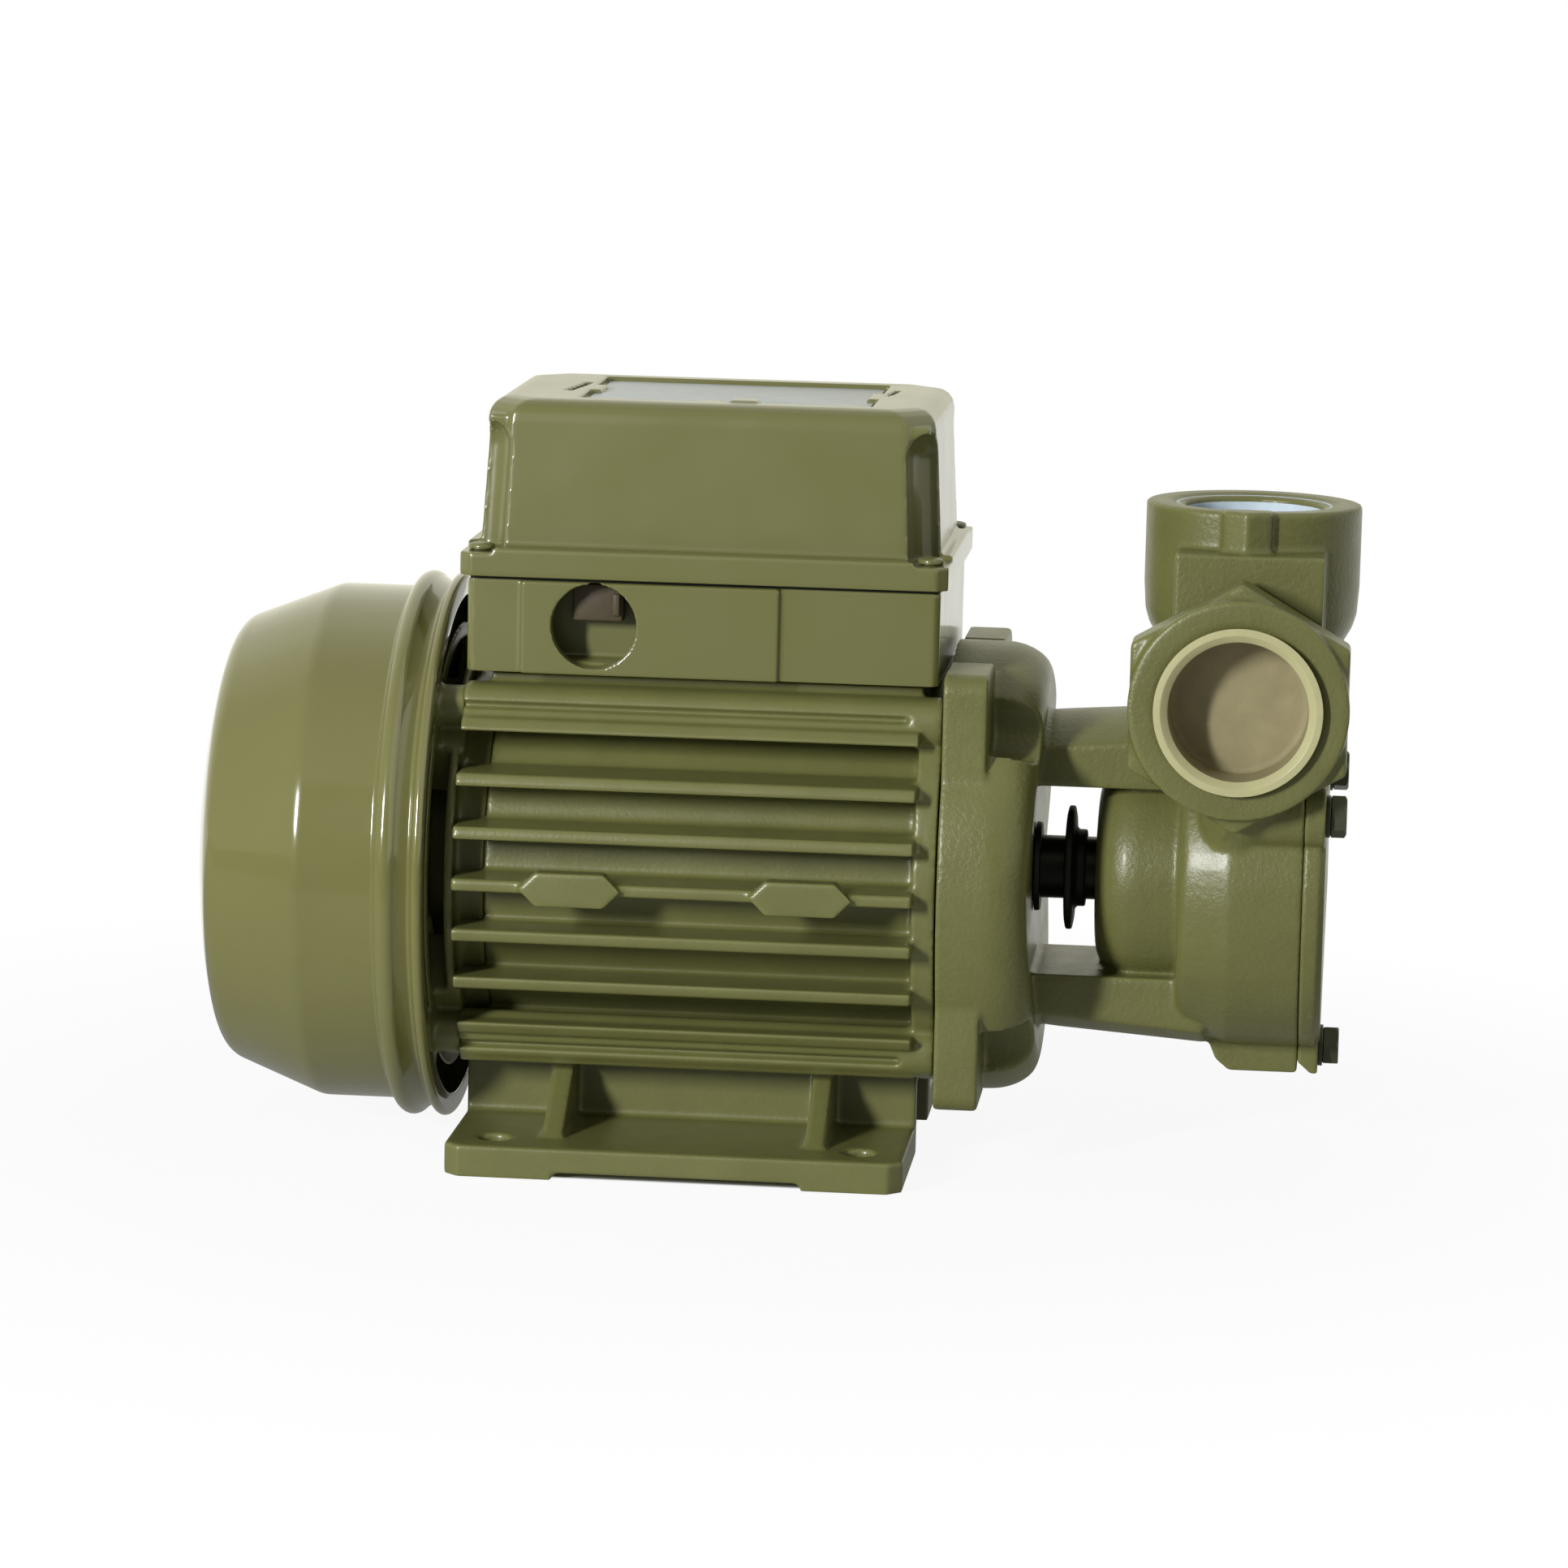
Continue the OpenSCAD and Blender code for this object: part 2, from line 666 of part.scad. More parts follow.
module shaft() {
    color([0.20, 0.20, 0.20]) difference() {
        union() {
            rod(shaft_x0, rear_brg_x0, fan_seat_d / 2);
            rod(rear_brg_x0 - eps, front_brg_x + brg_w, brg_bore / 2);
            rod(rear_brg_x1 + 0.3, front_brg_x - 0.3, brg_bore / 2 + 1.5);
            rod(front_brg_x + brg_w - eps, imp_hub_x0 - retainer_t - 0.4, shaft_d / 2);
            rod(imp_hub_x0 - retainer_t - 0.5, shaft_x1, imp_seat_d / 2);
        }
        // Circlip grooves and the keyway.
        tube(fan_x0 - 1.35, fan_x0 - 0.25, fan_seat_d, fan_seat_d / 2 - 0.45);
        tube(imp_x1 + 0.05 - circlip_t - 0.4, imp_x1 - 0.3, imp_seat_d, imp_seat_d / 2 - 0.45);
        block([imp_x0 - eps, -key_w / 2, shaft_h + imp_seat_d / 2 - key_h / 2],
            [imp_x0 + 7, key_w / 2, shaft_h + imp_seat_d]);
    }
}

module rotor_core() {
    color("dimgray") tube(-stack_len / 2, stack_len / 2, rotor_od_r, brg_bore / 2 + 1.5 + 0.02);
}

module rotor_end_rings() {
    color("silver") for (s = [-1, 1]) {
        x0 = s > 0 ? stack_len / 2 : -stack_len / 2 - 5;
        tube(x0, x0 + 5, rotor_od_r - 1.5, rotor_od_r - 8);
        for (a = [0:45:315])
            translate([0, 0, shaft_h]) rotate([a, 0, 0])
                block([x0 + (s > 0 ? 5 - eps : -4), -0.8, rotor_od_r - 7],
                    [x0 + (s > 0 ? 9 : eps), 0.8, rotor_od_r - 2.5]);
    }
}

module slinger() {
    x1 = hub_x0 - 2.6;
    color(dark) difference() {
        union() {
            rod(x1 - 4.5, x1, shaft_d / 2 + 1.6);
            rod(x1 - 4.5, x1 - 2.5, slinger_r);
        }
        rod(x1 - 6, x1 + 1, shaft_d / 2 + 0.02);
    }
}

module dust_ring() {
    color(dark) tube(shield_x1 + 0.3, shield_x1 + 1.6, shaft_d / 2 + 3, shaft_d / 2 + 0.02);
}

// ---- Mechanical seal ----

module seal_seat() {
    color("ivory") tube(seat_x0 + gasket_t, seat_x0 + gasket_t + seat_t, seat_r, shaft_d / 2 + 1.2);
}

module seal_seat_gasket() {
    color(dark) difference() {
        rod(seat_x0, seat_x0 + gasket_t + seat_t - 1, seat_r + gasket_t);
        rod(seat_x0 + gasket_t, seat_x0 + gasket_t + seat_t + 1, seat_r);
        rod(seat_x0 - 1, seat_x0 + gasket_t + 1, shaft_d / 2 + 1.2);
    }
}

module seal_head() {
    color([0.15, 0.15, 0.16]) difference() {
        union() {
            rod(seal_head_x0, seal_head_x0 + 2, seat_r - 2);
            rod(seal_head_x0 + 2 - eps, seal_head_x1, seat_r);
        }
        rod(seal_head_x0 - 1, seal_head_x1 + 1, shaft_d / 2 + 0.02);
    }
}

module seal_spring() {
    color(steel) coil(seal_head_x1 + seal_wire_r + 0.05, retainer_x1 - retainer_t - seal_wire_r - 0.05,
        shaft_d / 2 + 2.4, seal_wire_r);
}

module seal_retainer() {
    color(steel) tube(retainer_x1 - retainer_t, retainer_x1, shaft_d / 2 + 4.5, imp_seat_d / 2 + fit);
}

// ---- Impeller ----

module impeller() {
    depth = 5;
    color([0.72, 0.58, 0.28]) difference() {
        union() {
            rod(imp_x0, imp_x1, impeller_r);
            rod(imp_hub_x0, imp_x0 + eps, imp_hub_r);
        }
        rod(imp_hub_x0 - 1, imp_x1 + 1, imp_seat_d / 2 + 0.03);
        // Hub recess for the circlip, and the keyway.
        rod(imp_x1 - 2.2, imp_x1 + 1, imp_seat_d / 2 + 2.6);
        block([imp_hub_x0 - 1, -key_w / 2 - fit, shaft_h], [imp_x1 + 1, key_w / 2 + fit,
            shaft_h + imp_seat_d / 2 + key_h / 2 + 0.1]);
        for (i = [0:vane_n - 1])
            translate([0, 0, shaft_h]) rotate([(i + 0.5) * 360 / vane_n, 0, 0]) {
                block([imp_x0 - 1, -2, impeller_r - depth], [imp_x0 + impeller_w * 0.36, 2, impeller_r + 1]);
                block([imp_x1 - impeller_w * 0.36, -2, impeller_r - depth], [imp_x1 + 1, 2, impeller_r + 1]);
            }
    }
}

module impeller_key() {
    color(steel) block([imp_x0 + 0.1, -key_w / 2 + 0.02, shaft_h + imp_seat_d / 2 - key_h / 2 + 0.02],
        [imp_x0 + 6.8, key_w / 2 - 0.02, shaft_h + imp_seat_d / 2 + key_h / 2]);
}

module impeller_circlip() {
    color(steel) difference() {
        tube(imp_x1 - 0.3 - circlip_t, imp_x1 - 0.35, imp_seat_d / 2 + 2, imp_seat_d / 2 - 0.4);
        block([imp_x1 - 3, -1.5, shaft_h - 12], [imp_x1 + 1, 1.5, shaft_h - 2]);
    }
}

// ---- Pump bracket: shield, lantern, casing and ports in one casting ----

module shield_body() {
    edge = 8.5;
    turned(concat([[0, shield_x0], [shield_r, shield_x0]],
        arc(shield_r - edge, shield_x1 - edge, edge, 0, 90, 8), [[0, shield_x1]]));
    rod(shield_x0 - spigot_l, shield_x0 + eps, inner_r - fit);
}

module ears() {
    for (s = [-1, 1], t = [-1, 1])
        translate([shield_x0, s * tie_y, shaft_h + t * tie_z]) mirror([0, s > 0 ? 0 : 1, 0])
            mirror([0, 0, t > 0 ? 0 : 1]) {
                block([0, -14, -13], [ear_t, ear_y - tie_y - 4, ear_z - tie_z]);
                block([0, -14, -13], [ear_t, ear_y - tie_y, ear_z - tie_z - 4]);
                translate([0, ear_y - tie_y - 4, ear_z - tie_z - 4]) rotate([0, 90, 0])
                    cylinder(r = 4, h = ear_t);
            }
}

module arms() {
    intersection() {
        taper(shield_x1 - 3, casing_x0 + 6, arm_root_r, casing_r);
        for (t = [-1, 1])
            block([shield_x1 - 3, -arm_w / 2, shaft_h + (t > 0 ? window_h / 2 : -casing_r - 1)],
                [casing_x0 + 6, arm_w / 2, shaft_h + (t > 0 ? casing_r + 1 : -window_h / 2)]);
    }
}

module seal_hub() {
    hub_r = 25;
    turned(concat([[0, hub_x0], [hub_r - 9, hub_x0]],
        arc(hub_r - 9, hub_x0 + 9, 9, -90, 0, 6), [[hub_r, casing_x0 + 4], [0, casing_x0 + 4]]));
}

module casing_body() {
    rise = 3;
    turned([[0, casing_x0], [casing_r - rise - 1.5, casing_x0], [casing_r - rise, casing_x0 + 1.5],
        [casing_r, casing_step_x], [casing_r, casing_x1], [0, casing_x1]]);
    for (a = [60, -60]) translate([0, 0, shaft_h]) rotate([a, 0, 0])
        bar(casing_step_x - 2, casing_x1, 0, cover_bolt_r, 7);
    bottom_lug(casing_step_x + 0.8, casing_x1);
}

// Lug for the bottom bolt, cut back at its motor end.
module bottom_lug(x0, x1) {
    translate([0, lug_w / 2, shaft_h]) rotate([90, 0, 0]) linear_extrude(lug_w)
        polygon([[x0 - 4.6, -casing_r + 3], [x0 - 4.6, -lug_drop + 6.3], [x0 - 3, -lug_drop + 2.6],
            [x0, -lug_drop], [x1, -lug_drop], [x1, -casing_r + 3]]);
}

// Round neck with a hexagon near its mouth and a short turned face in front of it.
module suction_boss() {
    hex_back = -suction_reach + 14;
    hex_front = -suction_reach + 2.4;
    front_bar(port_x, suction_z, 0, hex_back - 1, suction_af / 2 - 2.5);
    front_bar(port_x, suction_z, hex_back, hex_front, suction_af / 2 / cos(30), 6);
    front_bar(port_x, suction_z, hex_front + 1, -suction_reach, suction_af / 2 + 0.3);
    inlet_run(3, 17, inlet_r + inlet_wall);
}

// Cylinder along the slanting way from the suction bore down to the ring channel.
module inlet_run(l0, l1, r) {
    translate([port_x, inlet_y, inlet_z]) rotate([180 + inlet_lean, 0, 0]) translate([0, 0, l0])
        cylinder(r = r, h = l1 - l0);
}

// Straight collar, drawn in below it towards the casing.
module discharge_boss() {
    r = discharge_r;
    z = discharge_z - collar_h;
    block_x0 = port_x + 1 - front_block_w / 2;
    translate([discharge_x, 0, 0]) rotate_extrude() polygon([[0, shaft_h + 20], [r - 6.5, shaft_h + 20],
        [r - 6.5, z - 20], [r - 5, z - 16], [r - 3, z - 12], [r - 1.3, z - 9], [r - 0.4, z - 6],
        [r, z], [r, discharge_z], [0, discharge_z]]);
    // Front block and its pointed rib up to the rim.
    block([block_x0, -suction_reach + 17.2, suction_z],
        [block_x0 + front_block_w, 0.5, discharge_z - 8.6]);
    translate([port_x + 0.2, 0, suction_z]) linear_extrude(discharge_z - suction_z - 0.2)
        polygon([[-4.4, -10], [-4.4, -25], [0, -28.6], [4.4, -25], [4.4, -10]]);
}

module pump_bracket() {
    color(olive) difference() {
        union() {
            shield_body();
            ears();
            arms();
            seal_hub();
            casing_body();
            difference() {
                union() {
                    suction_boss();
                    discharge_boss();
                }
                // The cover's seat is faced off square.
                rod(casing_x1, casing_x1 + 20, cover_bolt_r + 7.6);
            }
        }
        // Motor side: winding space, bearing seat and shaft hole.
        rod(shield_x0 - spigot_l - 1, shield_x0 + 1.9, inner_r - 4);
        rod(shield_x0, front_brg_x + brg_w, brg_od / 2 + fit);
        rod(shield_x0, hub_x0 + 6, shaft_d / 2 + 1.4);
        // Seal seat and chamber.
        rod(seat_x0, seat_x0 + 6, seat_r + gasket_t + 0.02);
        rod(seat_x0 + gasket_t + seat_t - 1.2, casing_x1 - 5, chamber_r);
        // Impeller space and the ring channel with its stripper.
        rod(imp_x0 - imp_side_gap, casing_x1 + 1, impeller_r + 0.3);
        difference() {
            tube(channel_x0, casing_x1 + 1, channel_r, channel_in_r);
            block([channel_x0 - 1, stripper_y0, shaft_h + impeller_r - 8],
                [casing_x1 + 2, stripper_y1, shaft_h + channel_r + 2]);
        }
        // Ports: machined face, screwed bore and passage to the channel.
        front_bar(port_x, suction_z, -suction_reach + port_sink, -suction_reach - 1, port_face_r);
        front_bar(port_x, suction_z, -suction_reach + port_depth, -suction_reach - 1, port_d / 2);
        inlet_run(-6, 20, inlet_r);
        upright(discharge_x, 0, discharge_z - port_sink, discharge_z + 1, port_face_r);
        upright(discharge_x, 0, discharge_z - port_depth, discharge_z + 1, port_d / 2);
        upright(discharge_x, discharge_pass_y, shaft_h + 24, discharge_z - port_depth + 1, passage_r);
        // Tapped holes for the tie bolts with a pocket beside each ear, and for the cover bolts.
        for (s = [-1, 1], t = [-1, 1]) {
            bar(shield_x0 - 1, shield_x0 + ear_t - 1, s * tie_y, shaft_h + t * tie_z, bolt_d / 2 + fit);
            bar(shield_x0 + ear_t, shield_x1 + 1, s * tie_y, shaft_h + t * tie_z, 8);
        }
        for (a = [60, -60, 180]) translate([0, 0, shaft_h]) rotate([a, 0, 0])
            bar(casing_x1 - 12, casing_x1 + 1, 0, cover_bolt_r, bolt_d / 2 + fit);
    }
}

module tie_bolts() {
    color(dark) for (s = [-1, 1], t = [-1, 1])
        hex_screw_x(rear_lug_x0, shield_x0 + ear_t - 2, s * tie_y, shaft_h + t * tie_z,
            bolt_d, bolt_af, bolt_head_h);
}

// ---- Pump cover ----

module pump_cover() {
    color(olive) difference() {
        union() {
            turned([[0, casing_x1], [casing_r, casing_x1], [casing_r, pump_cover_x1 - 1.4],
                [casing_r - 1.6, pump_cover_x1], [0, pump_cover_x1 + 0.4]]);
            for (a = [60, -60]) translate([0, 0, shaft_h]) rotate([a, 0, 0])
                bar(casing_x1, pump_cover_x1 - 0.3, 0, cover_bolt_r, 7);
            intersection() {
                bottom_lug(casing_x1 + 3, pump_cover_x1 - 0.3);
                rod(casing_x1, pump_cover_x1, 60);
            }
            rod(imp_x1 + imp_side_gap, casing_x1 + eps, channel_in_r - 0.4);
        }
        tube(casing_x1 - 1, casing_x1 + 2 * o_ring_w + fit, o_ring_r + o_ring_w + 0.15,
            o_ring_r - o_ring_w - 0.15);
        rod(casing_x1 - 5, casing_x1 + 1.5, imp_seat_d / 2 + 1);
        // Bolt holes with a spot-faced seat for each washer.
        for (a = [60, -60, 180]) translate([0, 0, shaft_h]) rotate([a, 0, 0]) {
            bar(casing_x1 - 1, pump_cover_x1 + 2, 0, cover_bolt_r, bolt_d / 2 + bolt_clear);
            bar(pump_cover_x1 - 0.3, pump_cover_x1 + 2, 0, cover_bolt_r, washer_r + gap);
        }
    }
}

module cover_o_ring() {
    color(dark) hoop(casing_x1 + o_ring_w, o_ring_r, o_ring_w);
}

module cover_bolts() {
    color(dark) for (a = [60, -60, 180]) translate([0, 0, shaft_h]) rotate([a, 0, 0])
        translate([0, 0, cover_bolt_r])
            hex_screw_x(pump_cover_x1 - 0.3 + washer_t, casing_x1 - 10, 0, 0, bolt_d, bolt_af, bolt_head_h);
}

module cover_washers() {
    color(dark) for (a = [60, -60, 180]) translate([0, 0, shaft_h]) rotate([a, 0, 0])
        difference() {
            bar(pump_cover_x1 - 0.3, pump_cover_x1 - 0.3 + washer_t, 0, cover_bolt_r, washer_r);
            bar(pump_cover_x1 - 2, pump_cover_x1 + 3, 0, cover_bolt_r, bolt_d / 2 + 0.1);
        }
}

// ---- Terminal box ----

function lid_screw_points() =
    [for (s = [-1, 1], t = [-1, 1]) [box_x + s * lid_screw_x, t * lid_screw_y]];

module terminal_box_base() {
    color(olive) difference() {
        translate([box_x, 0, box_z0]) linear_extrude(box_h) cut_rect(box_len, box_w, 1.2);
        difference() {
            translate([box_x, 0, floor_z]) linear_extrude(box_h)
                cut_rect(box_len - 2 * box_wall, box_w - 2 * box_wall, 1);
            for (p = lid_screw_points()) upright(p[0], p[1], box_z0, box_z1 + 1, 4.2, 40);
        }
        for (p = lid_screw_points()) upright(p[0], p[1], box_z1 - 12, box_z1 + 1, screw_r + fit, 32);
        for (p = concat(base_screw_points(), [earth_at]))
            upright(p[0], p[1], box_z0 - 1, floor_z + 1, 2.3, 32);
        // Way for the leads, the cable entry and two mould lines beside it.
        block([wire_x - wire_hole[0] / 2, -wire_hole[1] / 2, box_z0 - 1],
            [wire_x + wire_hole[0] / 2, wire_hole[1] / 2, floor_z + 1]);
        front_bar(entry_x, entry_z, -box_w / 2 + box_wall + 1, -box_w / 2 - 1, entry_d / 2);
        for (x = [-37.5, 18.7])
            block([x - 0.4, -box_w / 2 - 1, box_z0 - 1], [x + 0.4, -box_w / 2 + 0.4, box_z1 + 1]);
    }
}

module box_seat_gasket() {
    color(dark) difference() {
        block([barrel_x0 + 1, -seat_y + 1, shaft_h + seat_rise], [house_x1 - 1, seat_y - 1, box_z0]);
        block([wire_x - wire_hole[0] / 2, -wire_hole[1] / 2, shaft_h],
            [wire_x + wire_hole[0] / 2, wire_hole[1] / 2, box_z0 + 1]);
        for (p = concat(base_screw_points(), [earth_at]))
            upright(p[0], p[1], shaft_h, box_z0 + 1, 2.3, 32);
    }
}

module box_base_screws() {
    color(steel) for (p = base_screw_points())
        cheese_screw(p[0], p[1], floor_z, shaft_h + seat_rise - 3.6, 2 * screw_r, 3.4, 2.4);
}

module lid_gasket() {
    color(dark) difference() {
        translate([box_x, 0, box_z1]) linear_extrude(lid_z0 - box_z1) cut_rect(box_len - 1, box_w - 1, 1);
        translate([box_x, 0, box_z1 - 1]) linear_extrude(3)
            cut_rect(box_len - 2 * box_wall - 3, box_w - 2 * box_wall - 3, 9);
        for (p = lid_screw_points()) upright(p[0], p[1], box_z1 - 1, lid_z0 + 1, screw_r + 0.3, 32);
    }
}

// Tapered hollow cap with rounded top edges; g shrinks it all round.
module lid_cap(g) {
    round_r = 4.5;
    l = lid_len - 2 * g;
    w = lid_w - 2 * g;
    top_l = l - 2 * lid_taper;
    top_w = w - 2 * lid_taper;
    c = corner_cut;
    hull() {
        translate([box_x, 0, flange_z1 - 1]) linear_extrude(0.5) cut_rect(l, w, c);
        translate([box_x, 0, lid_z1 - g - round_r]) linear_extrude(0.01) cut_rect(top_l, top_w, c);
        translate([box_x, 0, lid_z1 - g - round_r * 0.62]) linear_extrude(0.01)
            cut_rect(top_l - round_r * 0.16, top_w - round_r * 0.16, c);
        translate([box_x, 0, lid_z1 - g - round_r * 0.29]) linear_extrude(0.01)
            cut_rect(top_l - round_r * 0.59, top_w - round_r * 0.59, c);
        translate([box_x, 0, lid_z1 - g - round_r * 0.08]) linear_extrude(0.01)
            cut_rect(top_l - round_r * 1.23, top_w - round_r * 1.23, c);
        translate([box_x, 0, lid_z1 - g - 0.01]) linear_extrude(0.01)
            cut_rect(top_l - round_r * 2, top_w - round_r * 2, c);
    }
}

module terminal_box_lid() {
    color(olive) difference() {
        union() {
            translate([box_x, 0, lid_z0]) linear_extrude(flange_t) cut_rect(flange_len, flange_w, 2.5);
            lid_cap(0);
        }
        lid_cap(box_wall);
        translate([box_x, 0, lid_z0 - 1]) linear_extrude(flange_t)
            cut_rect(lid_len - 2 * box_wall, lid_w - 2 * box_wall, corner_cut + 2);
        for (p = lid_screw_points()) {
            upright(p[0], p[1], lid_z0 - 1, flange_z1 + 1, screw_r + 0.3, 32);
            upright(p[0], p[1], flange_z1 - 0.8, lid_z1 + 1, 3.6, 40);
        }
        block([plate_x - plate_len / 2 - 1, -plate_w / 2 - 1, lid_z1 - recess_t],
            [plate_x + plate_len / 2 + 1, plate_w / 2 + 1, lid_z1 + 1]);
    }
}

module lid_screws() {
    color(steel) for (p = lid_screw_points())
        cheese_screw(p[0], p[1], flange_z1 - 0.8, box_z1 - 11, 2 * screw_r, 3.2, 2.2);
}

module rating_plate() {
    color([0.80, 0.84, 0.88]) block([plate_x - plate_len / 2, -plate_w / 2, lid_z1 - recess_t],
        [plate_x + plate_len / 2, plate_w / 2, lid_z1 - recess_t + plate_t]);
}

module terminal_block() {
    color([0.12, 0.12, 0.12]) difference() {
        block([block_x - block_len / 2, block_y - 9, floor_z],
            [block_x + block_len / 2, block_y + 9, floor_z + block_h]);
        for (i = [0:3]) {
            x = block_x + (i - 1.5) * 10;
            block([x - 4, block_y - 10, floor_z + 4], [x + 4, block_y - 3, floor_z + block_h + 1]);
            block([x - 4, block_y + 3, floor_z + 4], [x + 4, block_y + 10, floor_z + block_h + 1]);
            for (s = [-1, 1]) upright(x, block_y + s * 6, floor_z + 1, floor_z + 5, 1.5, 24);
        }
    }
}

module terminal_screws() {
    color("goldenrod") for (i = [0:3], s = [-1, 1])
        cheese_screw(block_x + (i - 1.5) * 10, block_y + s * 6, floor_z + 4, floor_z + 1.5, 2.9, 2.8, 1.8);
}

module capacitor() {
    color([0.85, 0.85, 0.82]) {
        bar(cap_x0, cap_x0 + cap_len, cap_y, cap_z, cap_r);
        for (s = [-1, 1])
            block([cap_x0 - 6, cap_y + s * 5 - 0.4, cap_z - 3], [cap_x0 + eps, cap_y + s * 5 + 0.4, cap_z + 3]);
    }
}

module capacitor_cradle() {
    color([0.25, 0.25, 0.24]) difference() {
        union() for (x = [cap_x0 + 4, cap_x0 + cap_len - 7])
            block([x, cap_y - cap_r + 1, floor_z], [x + 3, cap_y + cap_r - 1, cap_z - 4]);
        bar(cap_x0 - 1, cap_x0 + cap_len + 1, cap_y, cap_z, cap_r + fit);
    }
}

module earth_screw() {
    color("goldenrod")
        cheese_screw(earth_at[0], earth_at[1], floor_z, shaft_h + seat_rise - 3.6, 2 * screw_r, 3.4, 2.4);
}

module lead_wires() {
    color([0.55, 0.20, 0.12]) for (i = [0:lead_n - 1])
        upright(wire_x, (i - 1.5) * lead_pitch, shaft_h + inner_r - winding_gap, floor_z + 9, lead_r, 24);
}

motor_housing();
motor_feet();
front_flange();
stator_core();
stator_windings();
rear_shield();
front_bearing_outer();
rear_bearing_outer();
wave_washer();
fan_cover();
pump_bracket();
tie_bolts();
seal_seat();
seal_seat_gasket();
pump_cover();
cover_o_ring();
cover_bolts();
cover_washers();
terminal_box_base();
box_seat_gasket();
box_base_screws();
lid_gasket();
terminal_box_lid();
lid_screws();
terminal_block();
terminal_screws();
capacitor();
capacitor_cradle();
rating_plate();
earth_screw();
lead_wires();
shaft();
rotor_core();
rotor_end_rings();
front_bearing_inner();
rear_bearing_inner();
cooling_fan();
fan_circlip();
slinger();
dust_ring();
seal_head();
seal_spring();
seal_retainer();
impeller_key();
impeller();
impeller_circlip();
front_bearing_cage();
front_bearing_balls();
rear_bearing_cage();
rear_bearing_balls();
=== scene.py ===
"""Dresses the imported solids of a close-coupled water pump.

Castings with rounded edges, a pressed fan cover, a moulded terminal box, turned and
machined faces, fastenings and their finishes, and a small white stage with its lamps.
Lengths in this file are millimetres unless a property says metres.
"""

import json
import math

import bmesh
import bpy
from bpy.props import FloatProperty, FloatVectorProperty, IntProperty, PointerProperty
from mathutils import Matrix, Vector


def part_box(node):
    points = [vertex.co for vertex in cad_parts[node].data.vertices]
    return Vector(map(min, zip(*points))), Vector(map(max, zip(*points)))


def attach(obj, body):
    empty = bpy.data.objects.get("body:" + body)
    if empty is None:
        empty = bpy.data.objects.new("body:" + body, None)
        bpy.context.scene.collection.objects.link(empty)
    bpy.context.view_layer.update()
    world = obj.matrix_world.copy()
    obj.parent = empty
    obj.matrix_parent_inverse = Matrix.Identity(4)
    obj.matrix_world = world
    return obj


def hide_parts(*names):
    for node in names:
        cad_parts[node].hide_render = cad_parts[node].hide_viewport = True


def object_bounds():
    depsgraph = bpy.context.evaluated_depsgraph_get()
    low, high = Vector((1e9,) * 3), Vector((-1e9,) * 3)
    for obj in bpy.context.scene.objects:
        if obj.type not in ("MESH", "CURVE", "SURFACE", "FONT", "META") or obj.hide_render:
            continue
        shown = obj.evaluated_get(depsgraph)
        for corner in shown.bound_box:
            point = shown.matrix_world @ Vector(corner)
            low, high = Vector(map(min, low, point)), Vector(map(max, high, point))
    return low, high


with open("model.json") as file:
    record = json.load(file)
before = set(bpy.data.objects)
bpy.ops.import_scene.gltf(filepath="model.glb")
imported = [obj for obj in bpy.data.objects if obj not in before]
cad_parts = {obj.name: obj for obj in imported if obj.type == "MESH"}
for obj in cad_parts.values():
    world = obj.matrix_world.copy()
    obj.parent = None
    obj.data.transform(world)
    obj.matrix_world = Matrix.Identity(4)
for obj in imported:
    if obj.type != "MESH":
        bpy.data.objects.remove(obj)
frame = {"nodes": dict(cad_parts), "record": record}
solids_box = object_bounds()

bl_info = {
    "name": "Water pump dresser",
    "version": (1, 0, 0),
    "blender": (4, 5, 0),
    "location": "View3D > Sidebar > Water pump",
    "description": "Builds the castings, fan cover, terminal box, ports and fastenings of a small water pump",
    "category": "Object",
}

MM = 0.001


def extent(node):
    """Lowest and highest corner of a solid, in millimetres."""
    low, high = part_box(node)
    return low / MM, high / MM


def shown(red, green, blue):
    """Scene-linear colour of a display colour given from 0 to 255."""
    return tuple(
        v / 12.92 if v <= 0.04045 else ((v + 0.055) / 1.055) ** 2.4
        for v in (red / 255, green / 255, blue / 255)
    )


# Stations taken from the solids.
shaft_low, shaft_high = extent("shaft")
cover_low, cover_high = extent("fan_cover")
bracket_low, bracket_high = extent("pump_bracket")
lid_low, lid_high = extent("terminal_box_lid")
base_low, base_high = extent("terminal_box_base")
tie_low, tie_high = extent("tie_bolts")
feet_low, feet_high = extent("motor_feet")
bolt_low, bolt_high = extent("cover_bolts")
washer_low = extent("cover_washers")[0]
plate_low, plate_high = extent("rating_plate")
slinger_low, slinger_high = extent("slinger")
dust_low, dust_high = extent("dust_ring")
screw_low, screw_high = extent("lid_screws")
SHAFT_Z = (shaft_low.z + shaft_high.z) / 2


# ---- Settings ----


class CastingSettings(bpy.types.PropertyGroup):
    paint: FloatVectorProperty(
        name="Casting paint", description="Colour of the satin paint on the castings",
        subtype="COLOR", size=3, min=0, max=1, default=shown(108, 109, 62))
    cell: FloatProperty(
        name="Surface cell", description="Size of the mesh cells of a cast surface",
        subtype="DISTANCE", unit="LENGTH", default=0.0006, min=0.0003, max=0.002)
    rounding: IntProperty(
        name="Edge rounding", description="Passes that round the cast edges", default=5, min=0, max=20)
    faces: IntProperty(
        name="Faces", description="Most triangles in one casting", default=190000, min=20000, max=600000)
    grain: FloatProperty(
        name="Sand grain", description="Depth of the sand-cast grain under the paint",
        subtype="DISTANCE", unit="LENGTH", default=0.00005, min=0, max=0.0003)


